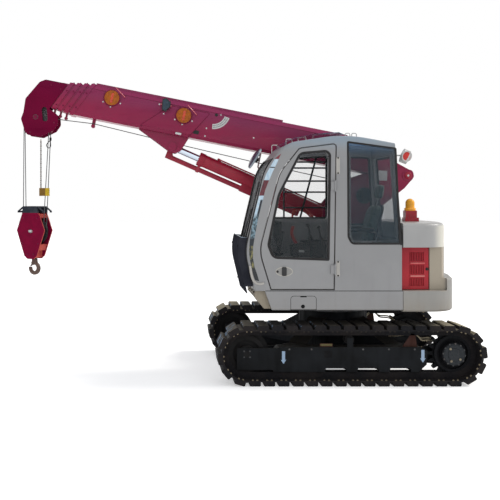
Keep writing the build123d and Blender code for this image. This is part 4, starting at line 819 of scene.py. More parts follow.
class Form:
    """Mesh in the making; each of its shapes is one body more."""

    def __init__(self):
        self.made = bmesh.new()

    def loft(self, rows, closed=False, capped=True):
        """Body through rows of points, one row after another; a row of one point is a pole."""
        loops = [[self.made.verts.new(p) for p in row] for row in rows]
        count = max(len(loop) for loop in loops)
        loops = [loop * (count // len(loop)) for loop in loops]
        if closed:
            loops.append(loops[0])
        elif capped:
            self.made.faces.new(loops[0])
            self.made.faces.new(loops[-1])
        for first, second in zip(loops, loops[1:]):
            for k in range(count):
                n = (k + 1) % count
                corners = dict.fromkeys((first[k], first[n], second[n], second[k]))
                if len(corners) > 2:
                    self.made.faces.new(tuple(corners))
        return self

    def slab(self, place, points, low, high):
        """Outline made solid between two levels."""
        return self.loft([[place(u, v, w) for u, v in points] for w in (low, high)])

    def ring(self, place, points, radii, width, low, high, steps=6):
        """Band of one width just inside an outline, such as a window's gasket."""
        if isinstance(radii, (int, float)):
            radii = [radii] * len(points)
        outer = rounded(points, radii, steps)
        inner = rounded(inset(points, width), [max(0.002, r - width) if r else 0 for r in radii], steps)
        edges = ((outer, low), (outer, high), (inner, high), (inner, low))
        return self.loft([[place(u, v, w) for u, v in loop] for loop, w in edges], closed=True)

    def turned(self, centre, axis, profile, steps=32):
        """Round body about an axis, from (radius, distance) points."""
        centre, axis = Vector(centre), Vector(axis).normalized()
        one = axis.orthogonal().normalized()
        two = axis.cross(one)
        rows = []
        for radius, far in profile:
            angles = [2 * pi * k / steps for k in range(steps)] if radius > 1e-6 else [0]
            rows.append([centre + axis * far + (one * cos(a) + two * sin(a)) * radius for a in angles])
        return self.loft(rows, capped=False)

    def knob(self, centre, axis, radius, edge, crown, top, steps=24, base=0.0):
        """Round boss with a chamfered crown."""
        profile = [(0, base), (radius, base), (radius, edge), (crown, top), (0, top)]
        return self.turned(centre, axis, profile, steps)

    def bolt(self, centre, axis, size=0.008, proud=0.006):
        """Hexagonal head with its washer."""
        washer = size * 1.35
        self.turned(centre, axis, [(0, -0.002), (washer, -0.002), (washer, 0.0016), (0, 0.0016)], 14)
        return self.knob(centre, axis, size, proud * 0.82, size * 0.84, proud, 6)

    def pipe(self, points, radius, steps=10, closed=False):
        """Tube through points, its cross-section carried along without twisting."""
        points = [Vector(p) for p in points]
        count = len(points)
        rows = []
        one = None
        for i, point in enumerate(points):
            before = points[i - 1] if closed or i else point
            after = points[(i + 1) % count] if closed or i < count - 1 else point
            tangent = (after - before).normalized()
            one = tangent.orthogonal().normalized() if one is None else one
            one = (one - tangent * one.dot(tangent)).normalized()
            two = tangent.cross(one)
            rows.append([point + (one * cos(a) + two * sin(a)) * radius
                         for a in (2 * pi * k / steps for k in range(steps))])
        return self.loft(rows, closed)

    def mesh(self):
        """Mesh data with its normals outward."""
        bmesh.ops.recalc_face_normals(self.made, faces=self.made.faces[:])
        mesh = bpy.data.meshes.new("piece")
        self.made.to_mesh(mesh)
        self.made.free()
        return mesh

    def put(self, name, slot, finish, body="superstructure", bevel=0.0, smooth=40):
        return put(name, self.mesh(), finish, body, bevel, smooth)


# Crawler tracks: shoe bolts, hub bolts, lashing marks, drive hoses

def on_loop(share):
    """Point on the shoes' inner face and the direction out of the loop."""
    half = 2 * HALF_BASE + pi * PLATE_IN
    s = (share % 1.0) * 2 * half
    hand = 1 if s < half else -1
    s %= half
    turn = pi / 2 - max(0.0, s - 2 * HALF_BASE) / PLATE_IN
    out = Vector((cos(turn), 0, sin(turn)))
    foot = Vector((min(s - HALF_BASE, HALF_BASE), 0, 0))
    return Vector((0, 0, WHEEL_Z)) + hand * (foot + out * PLATE_IN), hand * out


for hand, name in ((1, "left"), (-1, "right")):
    nuts = Form()
    for shoe in range(40):
        for step in (-0.16, 0.16):
            point, out = on_loop((shoe + 0.5 + step) / 40)
            for across in (-0.208, 0.208):
                nuts.bolt(point + Vector((0, hand * TRACK_Y + across, 0)), -out, 0.0095, 0.011)
    nuts.put(f"shoe_nuts_{name}", "bearing_steel", "shoe_nut", "undercarriage")

ARROW = [(0.017, 0), (0.017, -0.095), (0.030, -0.090), (0, -0.138), (-0.030, -0.090), (-0.017, -0.095),
         (-0.017, 0)]
GUSSET = rounded([(-0.575, 0.4005), (-0.735, 0.4005), (-0.715, 0.535), (-0.675, 0.552)], [0, 0, 0.012, 0.012])
HOLDER = rounded([(0.325, 0.4005), (0.325, 0.437), (0.185, 0.437), (0.185, 0.4005)], [0, 0.006, 0.006, 0])
hub_bolts, frame_bolts, marks, ports, hoses, brackets, plates = (Form() for _ in range(7))
for hand in (1, -1):
    face = upright(hand, TRACK_Y + 0.1)
    for u, v in circle(12, 0.117, 0.1):
        frame_bolts.bolt(*at(face, u - HALF_BASE, WHEEL_Z + v, 0.028), 0.008, 0.007)
    for degrees in (54, -62, -140):
        u, v = circle(1, 0.078, radians(degrees))[0]
        hub_bolts.bolt(*at(face, u - HALF_BASE, WHEEL_Z + v, 0.046), 0.010, 0.006)
    # plate over the idler's axle end, and bolts along the frame's top edge
    for u, v in circle(4, 0.045, pi / 4):
        frame_bolts.bolt(*at(face, u + HALF_BASE, WHEEL_Z + v, 0), 0.007, 0.005)
    for u in (-0.70, -0.42, -0.14, 0.42, 0.66):
        frame_bolts.bolt(*at(face, u, 0.378, 0), 0.008, 0.006)
    # arrows that mark where the machine is lashed, and the square port, its recess a dark slab of painted shade
    for u, top in ((0.724, 0.357), (-0.788, 0.372)):
        marks.slab(face, [(u + a, top + b) for a, b in ARROW], 0.0002, 0.0016)
    ports.slab(face, panel(0.284, 0.287, 0.196, 0.364, 0.012), 0.0002, 0.0018)
    # drive hoses from the car body to the final drive, with their clip
    for lift, reach in ((0.0, 0.0), (0.022, -0.03)):
        run = [(-0.50, 0.70, 0.47 + lift), (-0.60, 0.84, 0.50 + lift),
               (-0.70, 0.96 + reach, 0.545 + lift * 0.3), (-0.762, 0.985 + reach, 0.50),
               (-0.80, 0.97 + reach, 0.465 + lift), (-0.90, 0.90, 0.46 + lift), (-0.98, 0.80, 0.42)]
        hoses.pipe(smooth_run([(x, hand * y, z) for x, y, z in run]), 0.0085)
    brackets.slab(upright(hand), GUSSET, 0.992, 1.000).slab(upright(hand), HOLDER, 1.000, 1.006)
    plates.slab(upright(hand), panel(0.318, 0.410, 0.192, 0.432, 0.003), 1.0062, 1.0078)
hub_bolts.put("hub_bolts", "bearing_steel", "nut", "undercarriage")
frame_bolts.put("frame_bolts", "bearing_steel", "bearing", "undercarriage")
marks.put("lashing_marks", "undercarriage_black", "pale_blue", "undercarriage")
ports.put("frame_port_shade", "undercarriage_black", "seam", "undercarriage")
hoses.put("drive_hoses", "undercarriage_black", "hose_pale", "undercarriage")
brackets.put("hose_brackets", "undercarriage_black", "rust_brown", "undercarriage", 0.001)
plates.put("frame_plates", "undercarriage_black", "olive", "undercarriage")

# Cab: profile of its front and roof, window seals, tubes and covers
cab_points = [(1.040, 1.018), (1.142, 1.440), (0.930, 2.330), (0.705, 2.615), (0.060, 2.712), (-0.469, 2.613),
              (-0.544, 1.513), (-0.544, 1.018)]
cab_radii = [0, 0.5, 0.5, 0.3, 1.5, 0, 0, 0]
door_window = [(0.556, 2.512), (0.222, 2.540), (0.240, 1.346), (0.850, 1.368), (0.905, 1.510), (0.792, 2.060)]
door_window_radii = [0.09, 0.065, 0.014, 0.085, 0.09, 0.4]
rear_window = [(0.046, 2.632), (-0.482, 2.560), (-0.530, 1.520), (0.0, 1.520), (0.040, 1.600)]
rear_window_radii = [0.014, 0.02, 0.012, 0.06, 0.06]
right_windows = [
    [(0.560, 2.490), (0.090, 2.520), (0.090, 1.775), (0.960, 1.775), (0.880, 2.130)],
    [(0.020, 2.520), (-0.410, 2.500), (-0.450, 1.700), (0.020, 1.700)],
]
cab_profile = rounded(cab_points, cab_radii, 12)
cab_front = [p for p in cab_profile if p[0] > 0.70]


def front_x(v):
    """How far forward the cab's front stands at a height."""
    for (x0, z0), (x1, z1) in zip(cab_front, cab_front[1:]):
        if min(z0, z1) <= v <= max(z0, z1) and z0 != z1:
            return x0 + (x1 - x0) * (v - z0) / (z1 - z0)
    return cab_front[0][0] if v < 1.3 else cab_front[-1][0]


def roof_z(u):
    """Height of the cab's roof above a point forward of its axis."""
    for (x0, z0), (x1, z1) in zip(cab_profile, cab_profile[1:]):
        if min(x0, x1) <= u <= max(x0, x1) and x0 != x1 and min(z0, z1) > 2.3:
            return z0 + (z1 - z0) * (u - x0) / (x1 - x0)
    return 2.6


gasket = Form().ring(cab_side, inset(door_window, -0.004), [r + 0.004 for r in door_window_radii],
                     0.025, -0.0105, 0.0030)
gasket.put("door_gasket", "console_plastic", "gasket", "cab_door", 0.003)

seals = Form().ring(cab_side, inset(rear_window, -0.003), [r + 0.003 for r in rear_window_radii],
                    0.020, -0.0105, 0.0025)
seals.slab(cab_side, [(-0.4745, 2.562), (-0.5445, 1.512), (-0.524, 1.512), (-0.468, 2.50)], -0.0010, 0.0015)
for window in right_windows:
    seals.ring(side, window, 0.04, 0.020, 0.1275, 0.1455)
seals.ring(rear_face, panel(0.225, 1.56, 1.005, 2.48), 0.004, 0.024, -0.008, 0.005)
heights = [1.112 + 0.0332 * k for k in range(41)]
screen_edge = [(front_x(v) + 0.001, y, v) for y, run in ((1.058, heights), (0.192, heights[::-1])) for v in run]
seals.pipe(screen_edge, 0.011, 8, closed=True)
seals.put("window_seals", "console_plastic", "gasket", bevel=0.002)

# Round tubes that finish the front corners of the cab, and the hinge covers, in a paint paler than the body's:
# painted highlight
tubes = Form()
TUBE_IN = 0.0095
curve = rounded(inset(cab_points, TUBE_IN), [max(0.0, r - TUBE_IN) for r in cab_radii], 12)
curve = [p for p in curve if p[0] > 0.70 and p[1] < 2.60]
for w in (CAB_LEFT - TUBE_IN, CAB_RIGHT + TUBE_IN):
    tubes.pipe([side(u, v, w) for u, v in curve], 0.0155, 12)
for u, low, high in ((0.165, 2.279, 2.461), (0.166, 1.175, 1.341)):
    tubes.slab(cab_side, panel(0.126, low, u, high, 0.008), -0.0005, 0.0075)
for w in (CAB_LEFT + 0.001, CAB_RIGHT - 0.001):
    run = [(1.093, 1.290), (1.080, 1.210), (1.062, 1.145), (1.030, 1.106), (0.986, 1.094), (0.943, 1.104)]
    tubes.pipe(smooth_run([side(u, v, w) for u, v in run], 5), 0.0140, 12)
tubes.put("cab_tubes", "body_white", "tube", bevel=0.002)

# Corner pane of the cab's left side, and the pillar's skin behind it
PANE_FRONT = [(0.824, 2.446), (0.878, 2.354), (0.919, 2.279), (0.948, 2.198), (0.977, 2.106), (1.008, 1.998),
              (1.035, 1.891), (1.062, 1.783), (1.083, 1.675), (1.096, 1.567), (1.103, 1.460), (1.094, 1.352),
              (1.074, 1.244), (1.051, 1.166), (1.031, 1.134)]
PANE_BACK = [(0.995, 1.123), (1.018, 1.201), (1.045, 1.276), (1.062, 1.373), (1.062, 1.481), (1.049, 1.567),
             (1.029, 1.675), (1.010, 1.783), (0.983, 1.891), (0.956, 1.998), (0.930, 2.106), (0.894, 2.198),
             (0.855, 2.289), (0.808, 2.386), (0.758, 2.500)]
POST_EDGE = [(0.751, 2.451), (0.776, 2.386), (0.830, 2.289), (0.870, 2.203), (0.897, 2.106), (0.924, 1.998),
             (0.945, 1.891), (0.975, 1.783), (0.999, 1.675), (1.031, 1.567), (1.042, 1.460), (1.029, 1.363),
             (1.008, 1.255), (0.984, 1.136)]
Form().slab(cab_side, PANE_FRONT + PANE_BACK, 0.0003, 0.0025).put("quarter_pane", "tinted_glass", "quarter")
Form().slab(cab_side, PANE_BACK + POST_EDGE, 0.0002, 0.0014).put("pillar_skin", "body_white", "body")

# Dark lines: seam under the cab, hatch in each skirt, screws of the covers
seams = Form()
for skirt in (cab_side, cab_right):
    seams.slab(skirt, panel(0.930, 1.0148, -0.555, 1.0212), -0.0010, 0.0007)
    seams.ring(skirt, panel(0.377, 0.812, 0.657, 0.9645), [0.002, 0.002, 0.035, 0.035], 0.0045, -0.0015, 0.0007)
    grip = rounded([(0.478, 0.950), (0.556, 0.950), (0.548, 0.962), (0.486, 0.962)], 0.004)
    seams.slab(skirt, grip, -0.0015, 0.0009)
    seams.knob(*at(skirt, 0.523, 0.850, -0.0015), 0.021, 0.003, 0.014, 0.005)
for v in (2.288, 2.452, 1.184, 1.332):
    seams.knob(*at(cab_side, 0.1455, v, 0.0070), 0.009, 0.0015, 0.005, 0.0025, 16)
seams.put("dark_seams", "console_plastic", "seam")

door_edge = [(0.866, 1.034), (0.992, 1.45), (0.772, 2.29), (0.56, 2.556), (0.166, 2.606), (0.188, 1.034)]
lip = Form().ring(cab_side, inset(door_edge, -0.001), [0, 0.4, 0.35, 0.04, 0.03, 0], 0.0065, -0.0025, 0.0004)
lip.put("door_lip", "console_plastic", "lip", "cab_door")


def oval(half_u, half_v):
    """Oval outline of the door handle's recess."""
    return [(0.7245 + half_u * c, 1.227 + half_v * s) for c, s in circle(40, 1)]


# Door handle: its recess in painted shade, its rim in painted highlight, and its lever
Form().slab(cab_side, oval(0.088, 0.046), -0.0015, 0.0010).put("handle_bowl_shade", "body_white", "bowl", "cab_door")
rim = Form().ring(cab_side, oval(0.094, 0.052), 0.0, 0.010, -0.0010, 0.0030, 0)
rim.put("handle_rim", "body_white", "rim", "cab_door", 0.001)
lever = Form().slab(cab_side, panel(0.700, 1.180, 0.750, 1.276, 0.012), 0.0005, 0.0135)
lever.knob(*at(cab_side, 0.798, 1.226, 0.0005), 0.014, 0.003, 0.010, 0.005)
lever.put("door_lever", "console_plastic", "plastic", "cab_door", 0.002)

# Grab loops on the roof, and the eyes at its rear
loops = Form()
LOOPS = [(0.720, 0.19, 0.062, 0.045), (0.547, 0.19, 0.072, 0.070), (0.394, 0.19, 0.092, 0.060),
         (0.030, 1.04, 0.050, 0.032), (-0.040, 1.04, 0.052, 0.034), (0.030, 0.19, 0.050, 0.032)]
for u, w, length, rise in LOOPS:
    a, b = u - length / 2, u + length / 2
    top = max(roof_z(a), roof_z(b)) + rise
    run = [(a, roof_z(a) - 0.01), (a, top), (b, top), (b, roof_z(b) - 0.01)]
    loops.pipe(bent([side(*p, w) for p in run], 0.016), 0.0055)
loops.put("roof_loops", "body_white", "white_bar")

# Windscreen wiper on its spindle, and the rail at the top of the front guard, pale blue with painted sky
# reflection
PIVOT_V, TIP_V = 1.16, 1.90
wiper = Form().knob((front_x(PIVOT_V) - 0.012, 0.60, PIVOT_V), (1, 0, 0.15), 0.02, 0.028, 0.012, 0.036)
arm = [(front_x(v) + 0.022, 0.60 + 0.22 * (v - PIVOT_V) / (TIP_V - PIVOT_V), v)
       for v in (1.16, 1.30, 1.45, 1.60, 1.75, 1.90)]
blade = [(front_x(v) + 0.006, 0.80 + 0.06 * (v - 1.60), v) for v in (1.55, 1.68, 1.81, 1.94, 2.07, 2.20)]
wiper.pipe(arm, 0.006, 8).pipe(blade, 0.007, 6)
wiper.put("wiper", "guard_black", "gasket")

rail_x = front_x(1.594) + 0.084
rail = Form().pipe([(rail_x, w, 1.596) for w in (0.172, 0.60, 1.038)], 0.0085, 12)
for w in (0.176, 1.034):
    foot_x = front_x(1.586)
    rail.pipe([(foot_x + 0.010, w, 1.586), (foot_x + 0.05, w, 1.590), (rail_x, w, 1.596)], 0.0055, 8)
rail.put("guard_rail", "guard_black", "sky_glint_edge")
bolts = Form()
for v in (1.09, 1.50):
    for w in (0.192, 1.022):
        bolts.bolt((front_x(v) + 0.094, w, v), (1, 0, 0.1), 0.008, 0.007)
for w in (0.24, 0.46, 0.68, 0.90):
    bolts.bolt((1.0335, w, 0.985), (0.97, 0, 0.24))
bolts.put("front_bolts", "bearing_steel", "seam")

# Sleeves on the bars outside the right front window
bars = Form()
for v in (1.905, 2.090, 2.221, 2.376, 2.447):
    bars.pipe([(x, 0.111, v) for x in (0.066, 0.335, 0.604)], 0.0100, 12)
bars.pipe([(0.215, 0.1115, 2.500), (0.412, 0.1115, 1.760)], 0.0115, 12)
bars.put("guard_sleeves", "bar_white", "dark_bar")

# Domed back of the mirror with its rim in a pale blue painted sky reflection, its hub, and its red clamp
MIRROR = (0.942, 0.0975, 2.490), (0.853, 0, 0.522)
DOME = [(0, 0.040), (0.045, 0.038), (0.090, 0.030), (0.120, 0.018), (0.130, 0.006), (0.1315, -0.008),
        (0.124, -0.008), (0, -0.008)]
RIM = [(0.1290, -0.016), (0.1335, -0.012), (0.1345, -0.004), (0.1325, 0.004), (0.1290, 0.004)]
HUB = [(0, -0.050), (0.022, -0.049), (0.031, -0.040), (0.034, -0.020), (0.034, -0.012), (0, -0.012)]
Form().turned(*MIRROR, DOME, 48).put("mirror_dome", "mirror_shell", "mirror_shell")
Form().turned(*MIRROR, RIM, 48).put("mirror_rim", "mirror_shell", "sky_glint_edge")
Form().turned(*MIRROR, HUB, 28).put("mirror_hub", "mirror_shell", "plastic")
clamp = Form().knob((0.866, 0.116, 2.286), (0.38, -0.18, 0.91), 0.016, 0.04, 0.013, 0.044, 20)
clamp.slab(side, panel(0.842, 2.268, 0.892, 2.296, 0.006), 0.110, 0.1195)
clamp.put("mirror_clamp", "mirror_shell", "vent_red", bevel=0.001)

# Lamp at the rear of the roof
LAMP, LAMP_AXIS = Vector((-0.645, 0.925, 2.478)), Vector((-0.30, 0.93, -0.20)).normalized()
SHELL = [(0, -0.03), (0.030, -0.022), (0.052, 0.0), (0.061, 0.030), (0.063, 0.052), (0.057, 0.053),
         (0.050, 0.044), (0, 0.044)]
LENS = [(0, 0.014), (0.018, 0.012), (0.036, 0.006), (0.049, -0.003), (0.049, -0.008), (0, -0.008)]
Form().turned(LAMP - LAMP_AXIS * 0.05, LAMP_AXIS, SHELL, 40).put("rear_lamp_shell", "lamp_white", "lamp_white")
Form().turned(LAMP - LAMP_AXIS * 0.004, LAMP_AXIS, LENS, 40).put("rear_lamp_lens", "lamp_white", "red_lens")

# Rear: beacon collar, louvre locks and the louvres' ridges in painted highlight, hood hinges and handle
BEACON = Vector((-0.840, 0.330, HOOD_TOP + 0.125))
COLLAR = [(0.052, 0.012), (0.066, 0.010), (0.068, 0.018), (0.064, 0.030), (0.053, 0.032)]
collar = Form().turned(BEACON + Vector((0, 0, 0.001)), UP, COLLAR, 40)
for corner in panel(-0.052, -0.048, 0.052, 0.048):
    collar.bolt(BEACON + Vector((*corner, 0)), UP, 0.006, 0.005)
collar.put("beacon_collar", "beacon_amber", "beacon_lens", "engine_hood")
for hand, name in ((1, "left"), (-1, "right")):
    face, door = upright(hand), f"louvre_door_{name}"
    lock = Form().knob(*at(face, -0.845, 1.246, 0.9915), 0.017, 0.004, 0.010, 0.007)
    lock.slab(face, panel(-0.849, 1.232, -0.841, 1.260, 0.002), 0.9975, 1.0015)
    lock.put(f"louvre_lock_{name}", "pin_steel", "gasket", door)
    # strips of painted highlight along the louvres' ridges
    edges = Form()
    for v in (1.170, 1.310):
        edges.slab(face, panel(-0.820, v - 0.0055, -0.664, v + 0.0055, 0.002), 0.9975, 1.0005)
    edges.put(f"louvre_highlight_strips_{name}", "vent_red", "ridge_highlight_red", door)
hinges = Form()
for y in (-0.42, 0.42):
    hinges.pipe([(-1.163, y + reach, 1.512) for reach in (-0.07, 0, 0.07)], 0.011, 14)
    leaf = panel(y - 0.06, 1.512, y + 0.06, 1.575, 0.008)
    hinges.slab(lambda u, v, w: Vector((-1.150 - w, u, v)), leaf, 0.0, 0.006)
run = [(-0.80, y, HOOD_TOP + z) for y, z in ((-0.12, -0.006), (-0.12, 0.045), (0.06, 0.045), (0.06, -0.006))]
hinges.pipe(bent(run, 0.02), 0.008)
hinges.put("hood_hinges", "body_white", "white_bar", "engine_hood")

# Right side: service door of the tank housing, step treads, grab rail, filler cap
lines = Form().ring(cab_right, panel(0.16, 1.07, -0.48, 1.60), 0.03, 0.005, -0.0015, 0.0008)
for v in (1.20, 1.46):
    lines.knob(*at(cab_right, 0.115, v, -0.0015), 0.020, 0.004, 0.012, 0.007)
for u in (-0.40 + 0.045 * k for k in range(8)):
    lines.slab(cab_right, panel(u, 1.13, u + 0.018, 1.27, 0.008), -0.0015, 0.0006)
lines.put("housing_lines", "console_plastic", "seam")
treads = Form()
for i in range(2):
    z = 1.168 + 0.125 * i
    for u in (0.856 - 0.105 * i - 0.014 * k for k in range(7)):
        treads.slab(plan, panel(u, -0.98, u + 0.006, -0.72), z + 0.0002, z + 0.0032)
treads.put("step_treads", "step_beige", "nut")
run = [(0.30, -1.06, 1.41), (0.30, -1.06, 1.62), (0.60, -1.06, 1.60), (0.70, -1.06, 1.39)]
Form().pipe(bent(run, 0.05), 0.011).put("tank_rail", "body_white", "white_bar")
CAP_X, CAP_Y = 0.420, -0.910
CAP = [(0, 0), (0.050, 0), (0.054, 0.004), (0.054, 0.022), (0.048, 0.028), (0, 0.030)]
cap = Form().turned((CAP_X, CAP_Y, 1.4575), UP, CAP, 32)
for c, s in circle(16, 1):
    cap.slab(lambda u, v, w: Vector((CAP_X + u * c - v * s, CAP_Y + u * s + v * c, w)),
             panel(0.052, -0.003, 0.058, 0.003), 1.463, 1.480)
cap.put("filler_cap", "pin_steel", "plastic")

# Mast and winch: bolts, pin rings, wound rope, hoses that run up to the boom
PIN_RING = [(0.013, 0.013), (0.013, 0.016), (0.036, 0.016), (0.042, 0.011), (0.042, 0.0), (0.034, 0.0)]
WINCH_X, WINCH_Z = -0.38, 2.05
studs, rings = Form(), Form()
for face in (upright(1, 0.004), upright(-1, 0.444)):
    for u, v in circle(6, 0.046, 0.3):
        studs.bolt(*at(face, u + LIFT_FOOT.x, v + LIFT_FOOT.z, 0), 0.006, 0.005)
    rings.turned(*at(face, BOOM_FOOT.x, BOOM_FOOT.z, 0), PIN_RING, 40)
for u, v in circle(8, 0.086, 0.2):
    studs.bolt(*at(side, u + WINCH_X, v + WINCH_Z, 0.0200), 0.006, 0.005)
studs.put("mast_bolts", "pin_steel", "nut")
rings.put("pin_rings", "boom_red", "barrel_red")
tag = rounded([(-0.655, 2.225), (-0.548, 2.232), (-0.556, 2.352), (-0.660, 2.345)], 0.006)
Form().slab(side, tag, -0.0058, -0.0040).put("mast_plate", "body_white", "plate")
wound = coil(lambda u, v, w: Vector((u + WINCH_X, w, v + WINCH_Z)), 0.1236, -0.386, -0.054, 31, 28)
Form().pipe(wound, 0.0051, 6).put("wound_rope", "drum_steel", "rope", "winch_drum")
hoses = Form()
for y, drop in ((0.085, 0.0), (0.060, 0.03), (0.035, 0.06)):
    hoses.pipe(smooth_run([(-0.40, y, 2.09), (-0.47, y - 0.005, 2.10), (-0.53, y - 0.03, 1.98 - drop),
                           (-0.50, 0.012, 1.80 - drop), (-0.42, 0.012, 1.60), (-0.40, 0.012, 1.45)]), 0.0095)
hoses.put("winch_hoses", "bearing_steel", "hose")
red_hoses = Form()
for drop in (0.0, 0.032):
    run = [(0.118, -0.016, 1.56), (0.16, -0.012, 1.68), (0.24, -0.010, 1.80), (0.33, -0.010, 1.885),
           (0.42, -0.012, 1.905), (0.475, -0.016, 1.84), (0.47, -0.03, 1.74)]
    end = [(0.40, -0.05, 1.62), (0.30, -0.06, 1.45), (0.24, -0.06, 1.20)]
    red_hoses.pipe(smooth_run([(x, y, z - drop) for x, y, z in run] + end), 0.0105)
red_hoses.put("cylinder_hoses", "boom_red", "hose_red")

# Cab inside: gaiters under the levers, lever box, display, floor mat with its ribs
folds = [(0, 0)]
for k in range(5):
    folds += [(0.040 - 0.005 * k, 0.012 * k), (0.033 - 0.005 * k, 0.012 * k + 0.007)]
gaiters = Form()
for y in (0.250, 0.985):
    gaiters.turned((0.30, y, 1.530), (0.185, 0, 0.98), folds + [(0.010, 0.066), (0, 0.066)], 24)
gaiters.put("lever_gaiters", "console_plastic", "gasket")
box = rounded([(0.435, 1.360), (0.650, 1.385), (0.640, 1.520), (0.500, 1.535), (0.425, 1.500)], 0.03)
Form().slab(side, box, 0.955, 1.025).put("lever_box", "console_plastic", "plastic", bevel=0.006)
run = [(0.560, 0.990, 1.500), (0.600, 0.990, 1.560), (0.628, 0.985, 1.640), (0.612, 0.980, 1.710)]
Form().pipe(smooth_run(run), 0.017, 14).put("lever_grip", "boom_red", "hose_red")
plate = rounded([(0.500, 1.428), (0.558, 1.433), (0.556, 1.458), (0.498, 1.453)], 0.003)
Form().slab(side, plate, 1.0255, 1.0270).put("lever_plate", "body_white", "plate")
SCREEN, SCREEN_TURN = Vector((0.690, 0.250, 1.650)), radians(25)


def on_screen(u, v, w):
    """Frame of the display's face, turned towards the seat."""
    c, s = cos(SCREEN_TURN), sin(SCREEN_TURN)
    return SCREEN + Vector((-(0.020 + w) * c - u * s, -(0.020 + w) * s + u * c, v))


screen = Form().slab(on_screen, panel(-0.044, -0.070, 0.044, 0.075, 0.006), 0.0005, 0.003)
screen.put("display_face", "console_plastic", "display")
mat = Form().slab(plan, panel(0.95, 0.20, 0.22, 1.03, 0.05), 1.0632, 1.0672)
for u in (0.28 + 0.048 * k for k in range(14)):
    mat.slab(plan, panel(u, 0.24, u + 0.014, 0.99), 1.0672, 1.0700)
mat.put("floor_mat", "console_plastic", "gasket")

# Boom: side markers with their hoops and a bar of painted red reflection on each lens, work lamp, scale, small
# plates, bolts
BEZEL = [(0, -0.012), (0.088, -0.012), (0.098, -0.010), (0.100, -0.002), (0.097, 0.004), (0.092, 0.004),
         (0.091, 0), (0, 0)]
MARKER = [(0, 0.011), (0.0376, 0.010), (0.0705, 0.0065), (0.090, 0.001), (0.090, -0.002), (0, -0.002)]
HOOP = [(-0.022, 0.132, -0.016), (-0.030, 0.126, 0.018), (-0.145, 0.040, 0.018), (-0.152, 0.034, -0.016)]
BAR = [(-0.017, -0.060), (0.013, -0.060), (0.013, 0.052), (-0.017, 0.062)]
bezels, lenses, bars, hoops, screws = (Form() for _ in range(5))
for u, v, w in ((3.668, 0.225, 0.2043), (2.779, 0.184, 0.2103)):
    bezels.turned(*at(boom_side, u, v, w), BEZEL, 56)
    lenses.turned(*at(boom_side, u, v, w), MARKER, 56)
    bars.slab(boom_side, rounded([(u + du, v + dv) for du, dv in BAR], 0.006), w + 0.009, w + 0.0135)
    hoops.pipe(bent([boom_side(u + du, v + dv, w + dw) for du, dv, dw in HOOP], 0.014), 0.0055)
    for du, dv in ((-0.002, -0.108), (-0.112, -0.046), (0.096, -0.066)):
        screws.bolt(*at(boom_side, u + du, v + dv, w - 0.0243), 0.007, 0.006)
bezels.put("marker_bezels", "boom_red", "weld", "boom_base", 0.001)
lenses.put("marker_lenses", "lamp_amber", "amber_dull", "boom_base")
bars.put("marker_glint_bars", "lamp_amber", "red_glint_bar", "boom_base", 0.001)
hoops.put("marker_hoops", "boom_red", "hoop", "boom_base")

work_lamp = [(3.068, 0.322), (3.022, 0.344), (2.962, 0.304), (2.954, 0.254), (3.002, 0.190), (3.048, 0.192)]
housing = Form().slab(boom_side, rounded(work_lamp, 0.010), 0.205, 0.260)
housing.ring(boom_side, work_lamp, 0.010, 0.007, 0.2600, 0.2680)
for u in (3.050 - 0.021 * k for k in range(5)):
    housing.slab(boom_side, panel(u, 0.205, u + 0.004, 0.325), 0.1995, 0.2055)
housing.put("work_lamp_housing", "console_plastic", "plastic", "boom_base", 0.001)
pane = Form().slab(boom_side, rounded(inset(work_lamp, 0.009), 0.008), 0.2602, 0.2640)
pane.put("work_lamp_lens", "lamp_amber", "lamp_glass", "boom_base")
run = [boom_side(u, 0.262, w) for u, w in ((3.075, 0.1805), (3.075, 0.240), (2.945, 0.240), (2.945, 0.1805))]
Form().pipe(bent(run, 0.012), 0.0055).put("work_lamp_bracket", "boom_red", "hoop", "boom_base")


def arc_band(inner, outer, first, last, steps=24):
    """Outline of a band that bends round the scale's centre, between two angles in degrees."""
    angles = [radians(first + (last - first) * k / steps) for k in range(steps + 1)]
    return [(2.434 + reach * cos(a), 0.297 + reach * sin(a))
            for reach, turn in ((outer, angles), (inner, angles[::-1])) for a in turn]


scale, marks = Form(), Form()
scale.slab(boom_side, arc_band(0.143, 0.205, 190, 264), 0.1803, 0.1815)
scale.slab(boom_side, panel(2.837, -0.028, 2.766, -0.052, 0.003), 0.1863, 0.1877)
scale.put("boom_scale", "body_white", "plate", "boom_base")
for reach in (0.160, 0.186):
    marks.slab(boom_side, arc_band(reach - 0.002, reach + 0.002, 193, 261), 0.18155, 0.1820)
for k in range(12):
    marks.slab(boom_side, arc_band(0.161, 0.185, 194 + 6 * k, 194.7 + 6 * k, 1), 0.18155, 0.1820)
marks.put("scale_lines", "pin_steel", "sheave", "boom_base")

plug = Form().slab(boom_side, panel(2.632, 0.040, 2.560, -0.004, 0.012), 0.1803, 0.1835)
plug.slab(boom_side, panel(2.614, 0.024, 2.582, 0.015, 0.003), 0.1835, 0.1850)
plug.knob(*at(boom_side, 2.394, 0.269, 0.1803), 0.018, 0.004, 0.012, 0.006, 20)
plug.put("boom_plug", "console_plastic", "gasket", "boom_base")

for u, v in ((2.481, 0.089), (2.480, -0.006), (1.901, 0.086), (3.093, 0.262), (2.341, 0.281), (3.020, 0.160),
             (1.20, 0.235), (1.20, 0.030)):
    screws.bolt(*at(boom_side, u, v, 0.186 if 2.6 < u < 3.06 else 0.180), 0.007, 0.006)
    screws.bolt(*at(on_boom(-1), u, v, 0.180), 0.007, 0.006)
screws.put("boom_screws", "pin_steel", "pin", "boom_base")

